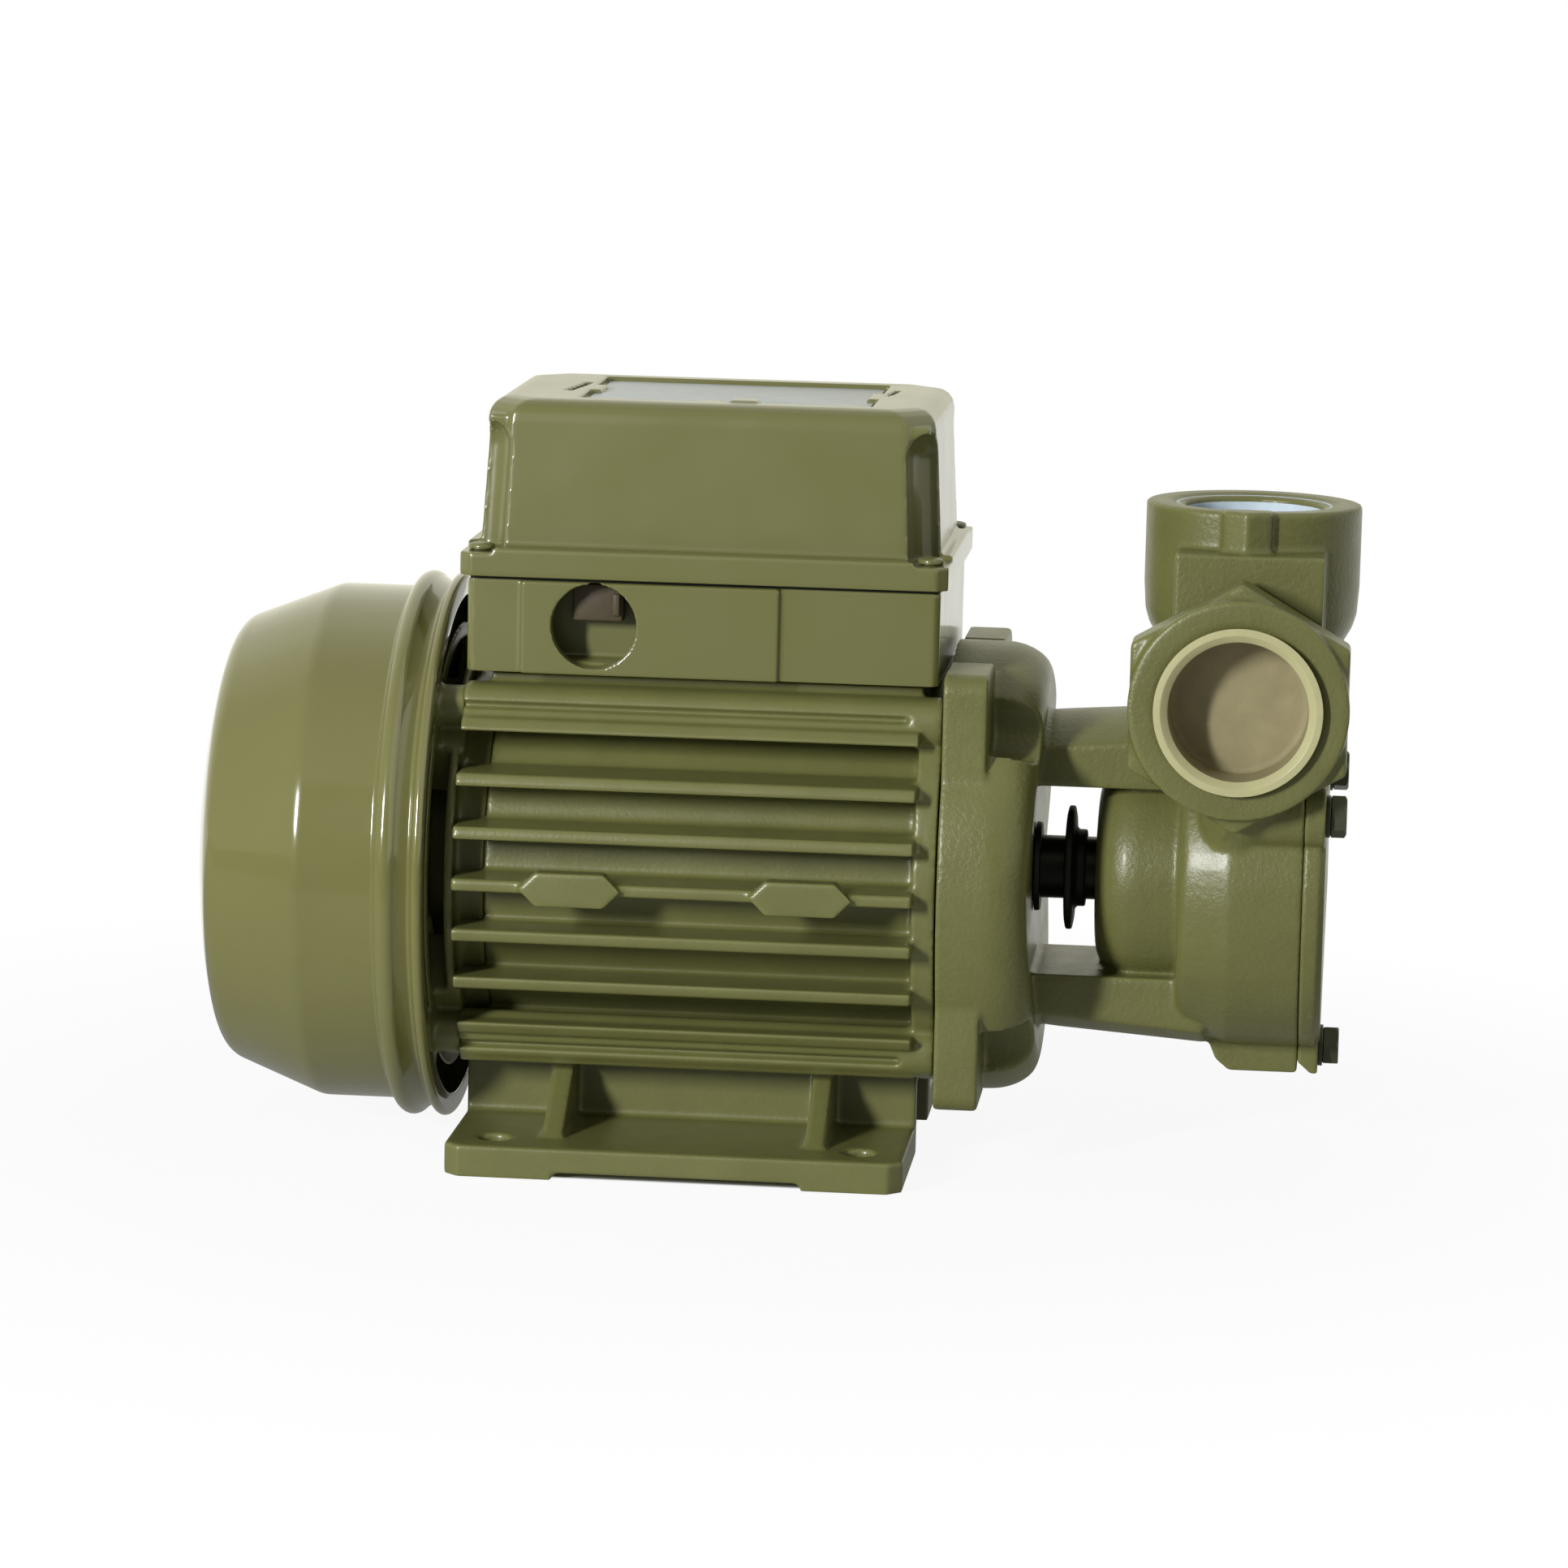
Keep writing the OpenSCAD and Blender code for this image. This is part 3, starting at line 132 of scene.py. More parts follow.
class FanCoverSettings(bpy.types.PropertyGroup):
    paint: FloatVectorProperty(
        name="Cover paint", description="Colour of the gloss paint on the fan cover",
        subtype="COLOR", size=3, min=0, max=1, default=shown(114, 113, 66))
    sheet: FloatProperty(
        name="Sheet", description="Thickness of the pressed sheet",
        subtype="DISTANCE", unit="LENGTH", default=0.0015, min=0.0008, max=0.003)
    bead: FloatProperty(
        name="Bead radius", description="Radius of the two rolled beads at the rim",
        subtype="DISTANCE", unit="LENGTH", default=0.0025, min=0.001, max=0.003)
    slots: IntProperty(
        name="Air slots", description="Number of radial slots in the end", default=20, min=8, max=30)


class BoxSettings(bpy.types.PropertyGroup):
    plastic: FloatVectorProperty(
        name="Box plastic", description="Colour of the moulded terminal box",
        subtype="COLOR", size=3, min=0, max=1, default=shown(108, 108, 63))
    plate: FloatVectorProperty(
        name="Plate", description="Colour of the bare rating plate",
        subtype="COLOR", size=3, min=0, max=1, default=shown(200, 208, 214))
    cell: FloatProperty(
        name="Surface cell", description="Size of the mesh cells of a moulded surface",
        subtype="DISTANCE", unit="LENGTH", default=0.00042, min=0.0003, max=0.001)


class PortSettings(bpy.types.PropertyGroup):
    suction_ring: FloatVectorProperty(
        name="Suction face", description="Colour of the machined face of the suction port",
        subtype="COLOR", size=3, min=0, max=1, default=shown(182, 179, 134))
    # Bare machined metal, made bluish white as a painted reflection of the white surroundings; also used
    # inside the discharge bore.
    discharge_face_and_reflection: FloatVectorProperty(
        name="Discharge face", description="Colour of the machined face of the discharge port",
        subtype="COLOR", size=3, min=0, max=1, default=shown(206, 220, 230))
    bore: FloatVectorProperty(
        name="Bore", description="Colour inside the bores",
        subtype="COLOR", size=3, min=0, max=1, default=shown(147, 138, 104))
    bore_width: FloatProperty(
        name="Bore diameter", description="Diameter of both screwed ports",
        subtype="DISTANCE", unit="LENGTH", default=0.0303, min=0.02, max=0.04)
    face_width: FloatProperty(
        name="Face diameter", description="Diameter of the machined faces",
        subtype="DISTANCE", unit="LENGTH", default=0.0364, min=0.03, max=0.045)
    depth: FloatProperty(
        name="Bore depth", description="Depth of the bores to their floors",
        subtype="DISTANCE", unit="LENGTH", default=0.0140, min=0.01, max=0.02)


class FasteningSettings(bpy.types.PropertyGroup):
    bolt: FloatVectorProperty(
        name="Bolt finish", description="Colour of the dark bolts and washers",
        subtype="COLOR", size=3, min=0, max=1, default=shown(62, 66, 48))
    flats: FloatProperty(
        name="Across flats", description="Width of the hexagon heads",
        subtype="DISTANCE", unit="LENGTH", default=0.008, min=0.005, max=0.013)
    head: FloatProperty(
        name="Head height", description="Height of the hexagon heads",
        subtype="DISTANCE", unit="LENGTH", default=0.0035, min=0.002, max=0.006)


class StageSettings(bpy.types.PropertyGroup):
    key: FloatProperty(
        name="Key lamp", description="Power of the softbox at the front left",
        subtype="POWER", unit="POWER", default=23.5, min=0, max=100)
    top: FloatProperty(
        name="Top lamp", description="Power of the soft lamp overhead",
        subtype="POWER", unit="POWER", default=2, min=0, max=100)
    ambient: FloatProperty(
        name="Ambient", description="Strength of the light from the white surroundings",
        default=0.18, min=0, max=2)
    lens: FloatProperty(
        name="Lens", description="Focal length of the camera in millimetres", default=141.65, min=20, max=300)


class PumpSettings(bpy.types.PropertyGroup):
    casting: PointerProperty(type=CastingSettings)
    fan_cover: PointerProperty(type=FanCoverSettings)
    box: PointerProperty(type=BoxSettings)
    ports: PointerProperty(type=PortSettings)
    fastenings: PointerProperty(type=FasteningSettings)
    stage: PointerProperty(type=StageSettings)


# ---- Finishes ----


def shader_node(tree, kind, settings=None, sockets=None):
    """New shader node with its settings, and its sockets set to values or joined to other sockets."""
    made = tree.nodes.new(kind)
    for key, value in (settings or {}).items():
        setattr(made, key, value)
    for key, value in (sockets or {}).items():
        if isinstance(value, bpy.types.NodeSocket):
            tree.links.new(value, made.inputs[key])
        else:
            made.inputs[key].default_value = value
    return made


def blank(name):
    """Material with an empty tree, its tree and its output."""
    made = bpy.data.materials.new(name)
    made.use_nodes = True
    made.node_tree.nodes.clear()
    return made, made.node_tree, made.node_tree.nodes.new("ShaderNodeOutputMaterial")


def noise(tree, place, size, detail=2.0, roughness=0.5):
    """Noise whose features are about size millimetres wide."""
    return shader_node(tree, "ShaderNodeTexNoise", None, {
        "Vector": place, "Scale": 1 / (size * MM), "Detail": detail, "Roughness": roughness}).outputs["Fac"]


def span(tree, value, low, high, to_low, to_high):
    """Value mapped from one range to another, clamped."""
    limits = {"From Min": low, "From Max": high, "To Min": to_low, "To Max": to_high}
    return shader_node(tree, "ShaderNodeMapRange", None, {"Value": value, **limits}).outputs["Result"]


def maths(tree, operation, first, second):
    """Result of a sum on two values or sockets."""
    return shader_node(tree, "ShaderNodeMath", {"operation": operation}, {0: first, 1: second}).outputs[0]


def glow(tree, kind, colour, strength):
    """Emission or Background of a colour and a strength."""
    sockets = {"Color": (*colour, 1), "Strength": strength}
    return shader_node(tree, "ShaderNode" + kind, None, sockets).outputs[0]


def either(tree, factor, first, second):
    """Mix of two shaders."""
    return shader_node(tree, "ShaderNodeMixShader", None, {0: factor, 1: first, 2: second}).outputs[0]


def by_ray(tree, plain, mirrored, direct):
    """One shader for lighting, one for reflections and one for what is looked at, also through glass."""
    path = shader_node(tree, "ShaderNodeLightPath").outputs
    lit = either(tree, path["Is Glossy Ray"], plain, mirrored)
    through = maths(tree, "MAXIMUM", path["Is Camera Ray"], path["Is Transmission Ray"])
    return either(tree, through, lit, direct)


def tinted(colour, factor):
    """Colour made lighter or darker, with full cover."""
    return tuple(min(1.0, c * factor) for c in colour) + (1.0,)


def blend_colour(tree, factor, first, second):
    """Two colours mixed by a factor; each is a colour or a socket."""
    mix = shader_node(tree, "ShaderNodeMix", {"data_type": "RGBA"})
    tree.links.new(factor, mix.inputs[0])
    for index, value in ((6, first), (7, second)):
        if isinstance(value, bpy.types.NodeSocket):
            tree.links.new(value, mix.inputs[index])
        else:
            mix.inputs[index].default_value = value
    return mix.outputs[2]


def surface(name, colour, rough, metal=0.0, mottle=0.07, mottle_size=16.0, grain=0.03, grain_size=0.9,
            edge=0.0, fine=0.0, coat=0.0, coat_rough=0.05, specular=0.5, rings=0.0):
    """Finish with colour variation, uneven gloss and a grain; edge paints lighter edges as a painted
    highlight, and rings adds turning marks about X.
    """
    made, tree, output = blank(name)
    place = shader_node(tree, "ShaderNodeTexCoord").outputs["Object"]
    cloud = noise(tree, place, mottle_size, 4.0, 0.6)
    tone = blend_colour(
        tree, span(tree, cloud, 0.3, 0.7, 0, 1), tinted(colour, 1 - mottle), tinted(colour, 1 + mottle))
    speck = noise(tree, place, grain_size * 2.2, 3.0, 0.7)
    tone = blend_colour(tree, span(tree, speck, 0.55, 0.8, 0, 0.5), tone, tinted(colour, 1 - mottle * 2.2))
    # Painted highlight: edges found by pointiness are lightened, standing for light caught on the rounded
    # edges.
    if edge:
        bend = shader_node(tree, "ShaderNodeNewGeometry").outputs["Pointiness"]
        tone = blend_colour(tree, span(tree, bend, 0.512, 0.57, 0, edge), tone, tinted(colour, 1.7))
    height = noise(tree, place, grain_size, 3.0, 0.55)
    if rings:
        marks = shader_node(tree, "ShaderNodeTexWave", {"wave_type": "RINGS", "rings_direction": "X"}, {
            "Vector": place, "Scale": 1 / (rings * MM), "Distortion": 0.6, "Detail": 2.0}).outputs["Fac"]
        height = maths(tree, "ADD", height, marks)
    bump = shader_node(tree, "ShaderNodeBump", None, {
        "Height": height, "Distance": grain * MM, "Strength": 1.0}).outputs["Normal"]
    if fine:
        bump = shader_node(tree, "ShaderNodeBump", None, {
            "Height": noise(tree, place, grain_size * 0.3, 2.0), "Distance": fine * MM,
            "Strength": 1.0, "Normal": bump}).outputs["Normal"]
    gloss = span(
        tree, noise(tree, place, mottle_size * 0.4, 3.0), 0.15, 0.85, max(0.02, rough - 0.06), rough + 0.07)
    shader = shader_node(tree, "ShaderNodeBsdfPrincipled", None, {
        "Base Color": tone, "Roughness": gloss, "Normal": bump, "Metallic": metal,
        "Specular IOR Level": specular, "Coat Weight": coat, "Coat Roughness": coat_rough})
    tree.links.new(shader.outputs[0], output.inputs["Surface"])
    return made


def lined_metal(name, colour, wave, sockets, tones, depth, cloud, gloss, metal, coat=0.0):
    """Metal with fine lines, such as stacked sheets seen on edge or varnished turns of wire."""
    made, tree, output = blank(name)
    place = shader_node(tree, "ShaderNodeTexCoord").outputs["Object"]
    lines = shader_node(tree, "ShaderNodeTexWave", wave, {"Vector": place, **sockets}).outputs["Fac"]
    tone = blend_colour(tree, lines, tinted(colour, tones[0]), tinted(colour, tones[1]))
    bump = shader_node(tree, "ShaderNodeBump", None, {"Height": lines, "Distance": depth * MM}).outputs[0]
    shader = shader_node(tree, "ShaderNodeBsdfPrincipled", None, {
        "Base Color": tone, "Roughness": span(tree, noise(tree, place, cloud), 0.3, 0.7, *gloss),
        "Normal": bump, "Metallic": metal, "Coat Weight": coat})
    tree.links.new(shader.outputs[0], output.inputs["Surface"])
    return made


# Finishes that no property holds: colour, roughness, metal, mottle and its size, grain and its size, more.
PLAIN_FINISHES = {
    "bearing_steel": (shown(188, 190, 192), 0.14, 1.0, 0.03, 6, 0.002, 0.4, dict(rings=0.5)),
    "spring_steel": (shown(168, 170, 172), 0.28, 1.0, 0.05, 5, 0.004, 0.4, {}),
    "dark_shaft_steel": (shown(40, 42, 38), 0.34, 0.7, 0.10, 8, 0.004, 0.5, dict(rings=0.6)),
    "black_rubber": (shown(30, 32, 26), 0.55, 0.0, 0.15, 5, 0.015, 0.4, dict(specular=0.35)),
    "seal_ceramic": (shown(222, 218, 202), 0.22, 0.0, 0.02, 5, 0.002, 0.3, {}),
    "seal_carbon": (shown(48, 48, 50), 0.42, 0.0, 0.08, 4, 0.006, 0.3, {}),
    "impeller_brass": (shown(196, 164, 96), 0.30, 1.0, 0.08, 7, 0.012, 0.7, {}),
    "cage_brass": (shown(200, 170, 104), 0.26, 1.0, 0.05, 5, 0.004, 0.4, {}),
    "rotor_aluminium": (shown(190, 192, 194), 0.38, 0.9, 0.07, 6, 0.03, 0.8, {}),
    "fan_plastic": (shown(46, 46, 44), 0.42, 0.0, 0.06, 12, 0.012, 0.6, {}),
    "black_plastic": (shown(46, 42, 34), 0.36, 0.0, 0.06, 9, 0.010, 0.5, {}),
    "capacitor_plastic": (shown(214, 214, 208), 0.32, 0.0, 0.03, 15, 0.006, 0.6, {}),
    "terminal_brass": (shown(204, 176, 108), 0.24, 1.0, 0.05, 3, 0.004, 0.3, {}),
    "lead_insulation": (shown(150, 52, 34), 0.45, 0.0, 0.05, 6, 0.008, 0.4, {}),
}
FINISHES = {}


def painted(slot, pump):
    """The same columns for a finish that follows the properties."""
    casting, grain = tuple(pump.casting.paint), pump.casting.grain / MM
    # edge sets the strength of the painted highlight on the edges.
    return {
        "cast_aluminium_paint": (casting, 0.36, 0.0, 0.07, 16.0, grain * 1.2, 0.9,
            dict(edge=0.3, fine=0.012, coat=0.3, coat_rough=0.28)),
        "cast_iron_paint": (tuple(c * 0.97 for c in casting), 0.38, 0.0, 0.07, 16.0, grain * 3.0, 1.1,
            dict(edge=0.3, fine=0.05, coat=0.15, coat_rough=0.2, specular=0.42)),
        "cover_paint": (tuple(pump.fan_cover.paint), 0.16, 0.0, 0.03, 30, 0.004, 2.2,
            dict(coat=1.0, coat_rough=0.03)),
        "box_plastic": (tuple(pump.box.plastic), 0.32, 0.0, 0.012, 40, 0.006, 0.5,
            dict(edge=0.2, coat=0.7, coat_rough=0.12)),
        "dark_bolt_steel": (tuple(pump.fastenings.bolt), 0.40, 0.3, 0.12, 4, 0.012, 0.4, dict(edge=0.5)),
        "plate_aluminium": (tuple(pump.box.plate), 0.34, 0.15, 0.03, 9, 0.003, 0.35, {}),
    }[slot]


def finish(slot):
    """The finish of one material slot, made once."""
    if slot not in FINISHES:
        name = slot + "_finish"
        if slot == "electrical_steel":
            FINISHES[slot] = lined_metal(
                name, shown(150, 150, 152), {"wave_type": "BANDS", "bands_direction": "X"},
                {"Scale": 620.0, "Distortion": 0.2}, (0.7, 1.15), 0.04, 5.0, (0.38, 0.5), 0.85)
        elif slot == "copper_winding":
            FINISHES[slot] = lined_metal(
                name, shown(196, 110, 58), {"wave_type": "RINGS", "rings_direction": "X"},
                {"Scale": 330.0, "Distortion": 2.2, "Detail": 1.5, "Detail Scale": 40.0},
                (0.35, 1.1), 0.25, 3.0, (0.2, 0.34), 0.6, 0.4)
        else:
            *columns, more = PLAIN_FINISHES.get(slot) or painted(slot, bpy.context.scene.water_pump)
            FINISHES[slot] = surface(name, *columns, **more)
    return FINISHES[slot]


# ---- Mesh making ----


def eased(points, radius, steps=4, closed=True):
    """Outline with its corners rounded. A point may carry its own radius as a third number."""
    made = []
    count = len(points)
    for i, point in enumerate(points):
        corner = Vector(point[:2])
        own = point[2] if len(point) > 2 else radius
        before, after = Vector(points[i - 1][:2]), Vector(points[(i + 1) % count][:2])
        end = not closed and i in (0, count - 1)
        if end or corner.y < 1e-6 or own <= 0:
            made.append((corner.x, corner.y))
            continue
        back, ahead = before - corner, after - corner
        reach = min(own, back.length * 0.48, ahead.length * 0.48)
        start, stop = corner + back.normalized() * reach, corner + ahead.normalized() * reach
        for k in range(steps + 1):
            t = k / steps
            made.append(tuple(start * (1 - t) ** 2 + corner * 2 * t * (1 - t) + stop * t * t))
    return made


def bend(x, r, radius, start, stop):
    """Points of an arc in an outline, by angles from the +r direction towards +x."""
    made, steps = [], 10
    for k in range(steps + 1):
        a = math.radians(start + (stop - start) * k / steps)
        made.append((x + radius * math.sin(a), r + radius * math.cos(a), 0))
    return made


def lathe(outline, steps=96, closed=True):
    """Mesh turned about X from (x, radius) points."""
    made = bmesh.new()
    rings = []
    for i in range(steps):
        a = 2 * math.pi * i / steps
        rings.append([made.verts.new((x, r * math.cos(a), r * math.sin(a))) for x, r in outline])
    count = len(outline)
    for i in range(steps):
        one, two = rings[i], rings[(i + 1) % steps]
        for k in range(count if closed else count - 1):
            n = (k + 1) % count
            if outline[k][1] > 1e-9 or outline[n][1] > 1e-9:
                made.faces.new((one[k], one[n], two[n], two[k]))
    bmesh.ops.remove_doubles(made, verts=made.verts, dist=1e-6)
    bmesh.ops.recalc_face_normals(made, faces=made.faces)
    return made


def brick(low, high, ease=0.0):
    """Block between two corners, its edges eased."""
    made = bmesh.new()
    bmesh.ops.create_cube(made, size=1)
    low, high = Vector(low), Vector(high)
    size = high - low
    for v in made.verts:
        v.co = (low + high) / 2 + Vector(c * s for c, s in zip(v.co, size))
    if ease:
        bmesh.ops.bevel(made, geom=made.edges[:], offset=ease, segments=3, profile=0.5, affect="EDGES")
    return made


def prism(outline, low, high, ease=0.0):
    """Upright prism over an outline of (x, y) points, its top and bottom edges eased."""
    made = bmesh.new()
    foot = [made.verts.new((x, y, low)) for x, y in outline]
    head = [made.verts.new((x, y, high)) for x, y in outline]
    made.faces.new(foot[::-1])
    made.faces.new(head)
    for i in range(len(outline)):
        n = (i + 1) % len(outline)
        made.faces.new((foot[i], foot[n], head[n], head[i]))
    if ease:
        rims = [e for e in made.edges if abs(e.verts[0].co.z - e.verts[1].co.z) < 1e-9]
        bmesh.ops.bevel(made, geom=rims, offset=ease, segments=3, profile=0.5, affect="EDGES")
    bmesh.ops.recalc_face_normals(made, faces=made.faces)
    return made


def hexagon_head(flats, height):
    """Hexagon head standing on x = 0 along +X, with the round chamfer of a real one and a dished top."""
    made, steps = bmesh.new(), 72
    chamfer, floor = flats / 2 * 0.95, height - 0.35
    slope = math.tan(math.radians(30))
    rings = []
    for i in range(steps):
        a = 2 * math.pi * i / steps
        off = (a + math.pi / 6) % (math.pi / 3) - math.pi / 6
        reach = flats / 2 / math.cos(off)
        low = min(reach, flats / 2 * 1.08)
        outline = [(0, 0), (0, low - 0.25), (0.25, reach), (height - max(0, reach - chamfer) * slope, reach),
                   (height, chamfer), (height, chamfer * 0.72), (floor, chamfer * 0.58), (floor, 0)]
        rings.append([made.verts.new((x, r * math.cos(a), r * math.sin(a))) for x, r in outline])
    for i in range(steps):
        one, two = rings[i], rings[(i + 1) % steps]
        for k in range(len(one) - 1):
            made.faces.new((one[k], one[k + 1], two[k + 1], two[k]))
    bmesh.ops.remove_doubles(made, verts=made.verts, dist=1e-6)
    bmesh.ops.recalc_face_normals(made, faces=made.faces)
    return made


def as_data(mesh, name, scale=MM):
    """Blender's mesh data of a mesh, scaled from millimetres; the mesh itself is freed."""
    data = bpy.data.meshes.new(name)
    bmesh.ops.scale(mesh, vec=(scale,) * 3, verts=mesh.verts)
    mesh.to_mesh(data)
    mesh.free()
    return data


def placed(name, data):
    """New object in the scene."""
    made = bpy.data.objects.new(name, data)
    bpy.context.scene.collection.objects.link(made)
    return made


def smoothed(data, crease):
    """Smooth shading with sharp edges above an angle in degrees."""
    data.shade_smooth()
    data.set_sharp_from_angle(angle=math.radians(crease))
    return data


def moved(mesh, matrix):
    """The same mesh, moved by a matrix."""
    bmesh.ops.transform(mesh, matrix=matrix, verts=mesh.verts)
    return mesh


def joined(parts):
    """Several meshes in one."""
    made = bmesh.new()
    for part in parts:
        holder = as_data(part, "part", 1)
        made.from_mesh(holder)
        bpy.data.meshes.remove(holder)
    return made


def at(x, y, z):
    """Place of a piece with its own origin at the given point."""
    return Matrix.Translation((x, y, z))


FACING_FRONT = Matrix.Rotation(math.radians(-90), 4, "Z")
FACING_UP = Matrix.Rotation(math.radians(-90), 4, "Y")


def shell(mesh, name="work"):
    """Scene object of a mesh given in millimetres."""
    return placed(name, as_data(mesh, name))


def settled(work):
    """The mesh of an object with its modifiers applied; the object itself is removed."""
    graph = bpy.context.evaluated_depsgraph_get()
    data = bpy.data.meshes.new_from_object(work.evaluated_get(graph), depsgraph=graph)
    old = work.data
    bpy.data.objects.remove(work)
    bpy.data.meshes.remove(old)
    return data


def drawn(work):
    """The shape of an object as a mesh in millimetres; the object itself is removed."""
    made = bmesh.new()
    made.from_mesh(settled(work))
    bmesh.ops.scale(made, vec=(1 / MM,) * 3, verts=made.verts)
    return made


def cut_away(work, cutter):
    """Takes the cutter's volume out of an object."""
    tool = shell(cutter, "cutter")
    step = work.modifiers.new("cut", "BOOLEAN")
    step.operation = "DIFFERENCE"
    step.solver = "EXACT"
    step.object = tool
    data = settled(work)
    old = tool.data
    bpy.data.objects.remove(tool)
    bpy.data.meshes.remove(old)
    return placed("work", data)


def solid_copy(node):
    """The closed mesh of a solid, in millimetres."""
    made = bmesh.new()
    made.from_mesh(frame["nodes"][node].data)
    bmesh.ops.scale(made, vec=(1 / MM,) * 3, verts=made.verts)
    bmesh.ops.remove_doubles(made, verts=made.verts, dist=0.002)
    return made


def rounded_form(mesh, cell, rounding, faces, cuts=(), adds=()):
    """Form with cast or moulded edges: cuts taken out, additions grown on, then rounded all over."""
    work = shell(mesh)
    for cutter in cuts:
        work = cut_away(work, cutter)
    if adds:
        work = shell(joined([drawn(work), *adds]))
    grow = work.modifiers.new("skin", "REMESH")
    grow.mode = "VOXEL"
    grow.voxel_size = cell
    ease = work.modifiers.new("ease", "SMOOTH")
    ease.factor = 0.5
    ease.iterations = rounding
    work = placed("work", settled(work))
    triangles = 2 * len(work.data.polygons)
    if triangles > faces:
        thin = work.modifiers.new("thin", "DECIMATE")
        thin.ratio = faces / triangles
    data = settled(work)
    data.shade_smooth()
    return data


def add_piece(name, data, body, slot, nodes=(), finishes=(), place=None, crease=32):
    """Puts a finished mesh in the scene, riding on a body and standing for the given solids."""
    if isinstance(data, bmesh.types.BMesh):
        data = smoothed(as_data(data, name), crease)
    data.name = name
    if data.materials:
        data.materials.clear()
    for material in finishes or [finish(slot)]:
        data.materials.append(material)
    made = placed(name, data)
    if place is not None:
        made.matrix_world = Matrix.Translation(place.translation * MM) @ place.to_3x3().to_4x4()
    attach(made, body)
    if nodes:
        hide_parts(*nodes)


class PumpOperator(bpy.types.Operator):
    """Shared form of the operators: build, then report success."""

    bl_options = {"REGISTER", "UNDO"}

    def execute(self, context):
        self.build(context.scene.water_pump)
        return {"FINISHED"}


# ---- Castings ----


class PUMP_OT_motor_housing(PumpOperator):
    """Finned motor housing with its feet, cast in one piece"""

    bl_idname = "water_pump.motor_housing"
    bl_label = "Motor housing"
    # Grooves along the tie bars: lower and upper edge above the shaft, and their floor from the middle.
    grooves = ((36.6, 38.2, 37.4), (-38.6, -37.1, 36.9))

    def build(self, pump):
        s = pump.casting
        seam, leg_y = feet_high.z, 20.5
        seats = [brick((feet_low.x + 1, y - 2.2, seam - 1.6), (feet_high.x - 1, y + 2.2, seam + 1.6))
                 for y in (-leg_y, leg_y)]
        flange = moved(solid_copy("front_flange"), at(-0.4, 0, 0))
        x0, x1 = feet_low.x - 1, tie_high.x - 15
        grooves = []
        for side in (-1, 1):
            for low, high, floor in self.grooves:
                near, far = sorted((side * floor, side * 42))
                grooves.append(brick((x0, near, SHAFT_Z + low), (x1, far, SHAFT_Z + high)))
        ribbed = drawn(cut_away(shell(solid_copy("motor_housing")), joined(grooves)))
        whole = joined([ribbed, solid_copy("motor_feet"), flange, *seats])
        data = rounded_form(whole, s.cell, s.rounding, s.faces)
        add_piece("motor_housing_casting", data, "frame", "cast_aluminium_paint",
                  ["motor_housing", "motor_feet", "front_flange"])


class PUMP_OT_rear_shield(PumpOperator):
    """Rear bearing shield with the four lugs that carry the fan cover"""

    bl_idname = "water_pump.rear_shield"
    bl_label = "Rear shield"

    def build(self, pump):
        s = pump.casting
        x0, x1 = cover_high.x - 0.6, feet_low.x + 0.2
        band, clear = 45, 64
        groove = lathe([(x0, band), (x1, band), (x1, clear), (x0, clear)], 120)
        tie_y, tie_z = tie_high.y - 4, (tie_high.z - tie_low.z) / 2 - 4.6
        bore, outside = 2.8, 4.4
        sleeves = [moved(lathe([(x0 - 0.4, bore), (x0 - 0.4, outside), (x1, outside), (x1, bore)], 48),
                         at(0, sy * tie_y, SHAFT_Z + sz * tie_z)) for sy in (-1, 1) for sz in (-1, 1)]
        data = rounded_form(solid_copy("rear_shield"), s.cell, s.rounding, s.faces // 2,
                            [moved(groove, at(0, 0, SHAFT_Z))], sleeves)
        add_piece("rear_shield_casting", data, "frame", "cast_aluminium_paint", ["rear_shield"])


class PUMP_OT_pump_bracket(PumpOperator):
    """Front shield, open lantern, casing and both port bosses, cast in one piece"""

    bl_idname = "water_pump.pump_bracket"
    bl_label = "Pump bracket"

    def build(self, pump):
        s = pump.casting
        rim = bracket_high.z
        rib = prism([(113.4, -20.5), (113.4, -25.4), (118.7, -28.6), (124.0, -25.4), (124.0, -20.5)],
                    rim - 8.4, rim + 0.5, 0.4)
        casting = solid_copy("pump_bracket")
        face = dust_low.x - 0.3
        # The shield's face rises towards its rim, most at its top and bottom.
        for v in casting.verts:
            up = abs(v.co.z - SHAFT_Z)
            out = math.hypot(v.co.y, up)
            if v.co.x < face + 0.2:
                rise = 0.5 + 2.2 * min(1, up / 36)
                v.co.x += rise * max(0, min(1, (out - 24) / 14)) * max(0, min(1, (v.co.x - face + 9.5) / 8))
        data = rounded_form(casting, s.cell, s.rounding, s.faces, adds=[rib])
        add_piece("pump_bracket_casting", data, "frame", "cast_iron_paint", ["pump_bracket"])


class PUMP_OT_pump_cover(PumpOperator):
    """Flat cover that closes the impeller casing"""

    bl_idname = "water_pump.pump_cover"
    bl_label = "Pump cover"

    def build(self, pump):
        s = pump.casting
        data = rounded_form(solid_copy("pump_cover"), s.cell * 0.8, max(2, s.rounding - 2), s.faces // 2)
        add_piece("pump_cover_casting", data, "frame", "cast_iron_paint", ["pump_cover"])


